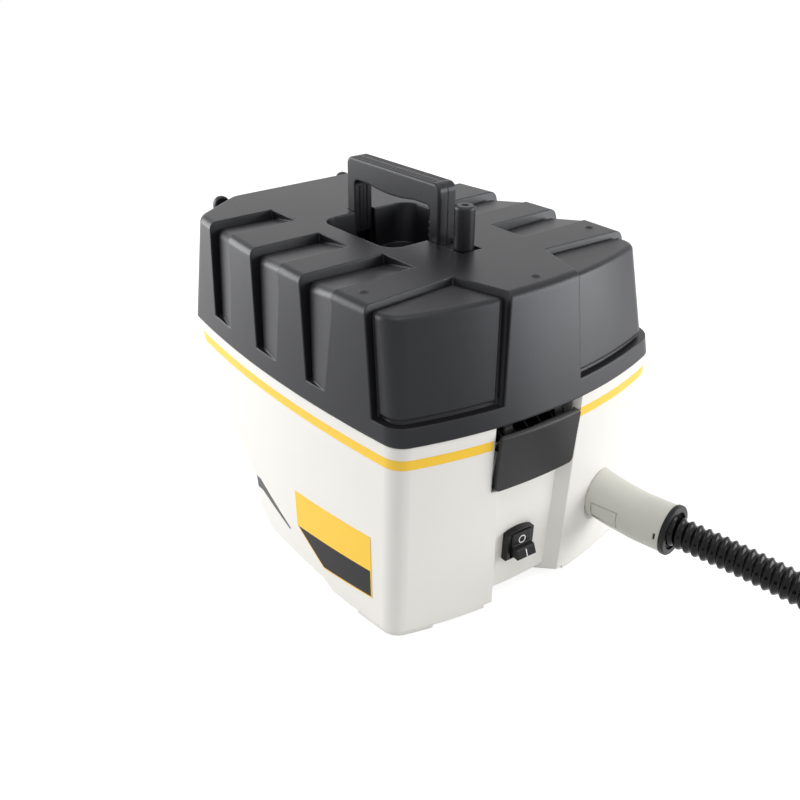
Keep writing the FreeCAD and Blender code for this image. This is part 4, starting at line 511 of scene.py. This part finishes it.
def off_mark():
    """The ring on the switch's upper half."""
    bm = bmesh.new()
    bmesh.ops.create_circle(bm, cap_ends=True, segments=48, radius=RING_RADIUS)
    bmesh.ops.inset_region(bm, faces=bm.faces[:], thickness=RING_WIDTH, use_boundary=True,
                           use_even_offset=True)
    middle = min(bm.faces, key=lambda face: face.calc_center_median().length)
    bmesh.ops.delete(bm, geom=[middle], context="FACES")
    raised(bm, PRINT_THICKNESS)
    bmesh.ops.transform(bm, matrix=on_rocker(OFF_PLACE, OFF_TILT), verts=bm.verts)
    shown("off_mark", bm, "mark", "rocker")


def on_mark():
    """The bar on the switch's lower half."""
    bm = bmesh.new()
    bmesh.ops.create_grid(bm, x_segments=1, y_segments=1, size=0.5)
    bmesh.ops.scale(bm, vec=BAR_SIZE, verts=bm.verts)
    raised(bm, PRINT_THICKNESS)
    bmesh.ops.transform(bm, matrix=on_rocker(ON_PLACE, ON_TILT), verts=bm.verts)
    shown("on_mark", bm, "mark", "rocker")


# ---------------------------------------------------------------- plug

SLOT_SIZE = (1.8 * MM, 5.2 * MM, 1)
SLOT_DISTANCE, SLOT_RADIUS = 65.5 * MM, 19.7 * MM


def plug_slot_shade():
    """The dark bottom of the small slot in the plug's side: a dark plate as painted shade inside the
    slot.
    """
    bm = bmesh.new()
    bmesh.ops.create_grid(bm, x_segments=1, y_segments=1, size=0.5)
    bmesh.ops.scale(bm, vec=SLOT_SIZE, verts=bm.verts)
    raised(bm, 0.3 * MM)
    out = (PORT_SIDE * -1 + Vector((0, 0, math.tan(math.radians(4))))).normalized()
    across = out.cross(PORT_WAY)
    turn = Matrix((PORT_WAY, across, out)).transposed().to_4x4()
    place = Matrix.Translation(PORT + PORT_WAY * SLOT_DISTANCE + out * SLOT_RADIUS)
    bmesh.ops.transform(bm, matrix=place @ turn, verts=bm.verts)
    shown("plug_slot_shade", bm, "black", "base")


# ---------------------------------------------------------------- studio

def soft_lamp(name, place, target, size, watts):
    """A rectangular soft lamp that the camera doesn't see."""
    lamp = bpy.data.objects.new(name, bpy.data.lights.new(name, "AREA"))
    bpy.context.scene.collection.objects.link(lamp)
    lamp.data.shape = "RECTANGLE"
    lamp.data.size, lamp.data.size_y = size
    lamp.data.energy = watts
    lamp.location = place
    lamp.visible_camera = False
    aim(lamp, target)


def camera_white(tree, seen, unseen):
    """Mixes what the camera and mirror rays see with what lights the object."""
    path = tree.nodes.new("ShaderNodeLightPath")
    seen_ray = path.outputs["Is Camera Ray"]
    for kind in ("Is Glossy Ray", "Is Transmission Ray"):
        either = tree.nodes.new("ShaderNodeMath")
        either.operation = "MAXIMUM"
        tree.links.new(seen_ray, either.inputs[0])
        tree.links.new(path.outputs[kind], either.inputs[1])
        seen_ray = either.outputs[0]
    mix = tree.nodes.new("ShaderNodeMixShader")
    tree.links.new(seen_ray, mix.inputs[0])
    tree.links.new(unseen, mix.inputs[1])
    tree.links.new(seen, mix.inputs[2])
    return mix.outputs[0]


def pale_floor():
    """A plain floor: the camera sees it pale with the object's shadow on it."""
    bm = bmesh.new()
    bmesh.ops.create_grid(bm, x_segments=2, y_segments=2, size=6)
    mesh = bpy.data.meshes.new("floor")
    bm.to_mesh(mesh)
    bm.free()
    floor = bpy.data.objects.new("floor", mesh)
    bpy.context.scene.collection.objects.link(floor)
    paint = bpy.data.materials.new("pale_floor")
    paint.use_nodes = True
    tree = paint.node_tree
    tree.nodes.clear()
    out = tree.nodes.new("ShaderNodeOutputMaterial")
    matt = tree.nodes.new("ShaderNodeBsdfDiffuse")
    matt.inputs["Color"].default_value = (0.8, 0.8, 0.8, 1)
    pale = tree.nodes.new("ShaderNodeBsdfDiffuse")
    pale.inputs["Color"].default_value = (0.42, 0.42, 0.42, 1)
    glow = tree.nodes.new("ShaderNodeEmission")
    glow.inputs["Strength"].default_value = 0.81
    both = tree.nodes.new("ShaderNodeAddShader")
    tree.links.new(pale.outputs[0], both.inputs[0])
    tree.links.new(glow.outputs[0], both.inputs[1])
    tree.links.new(camera_white(tree, both.outputs[0], matt.outputs[0]), out.inputs["Surface"])
    floor.data.materials.append(paint)


def studio():
    """White surroundings, the floor and three soft lamps."""
    scene = bpy.context.scene
    scene.view_settings.view_transform = "Standard"
    world = bpy.data.worlds.new("studio")
    scene.world = world
    world.use_nodes = True
    tree = world.node_tree
    tree.nodes.clear()
    out = tree.nodes.new("ShaderNodeOutputWorld")
    seen = tree.nodes.new("ShaderNodeBackground")
    seen.inputs["Strength"].default_value = 1.0
    unseen = tree.nodes.new("ShaderNodeBackground")
    unseen.inputs["Strength"].default_value = 0.45
    for background in (seen, unseen):
        background.inputs["Color"].default_value = (1, 1, 1, 1)
    tree.links.new(camera_white(tree, seen.outputs[0], unseen.outputs[0]), out.inputs["Surface"])
    pale_floor()
    soft_lamp("left_softbox", (-1.0, 1.38, 0.60), (0, 0, 0.25), (1.4, 1.15), 28)
    soft_lamp("right_softbox", (1.12, -1.12, 0.46), (0, 0, 0.25), (1.1, 0.85), 17)
    soft_lamp("top_softbox", (-0.2, -0.5, 2.0), (0, 0, 0.2), (1.6, 1.6), 12)


# ---------------------------------------------------------------- the whole scene

studio_camera()
dress_nodes()
corrugated_hose()
rocker_key()
off_mark()
on_mark()
plug_slot_shade()
studio()
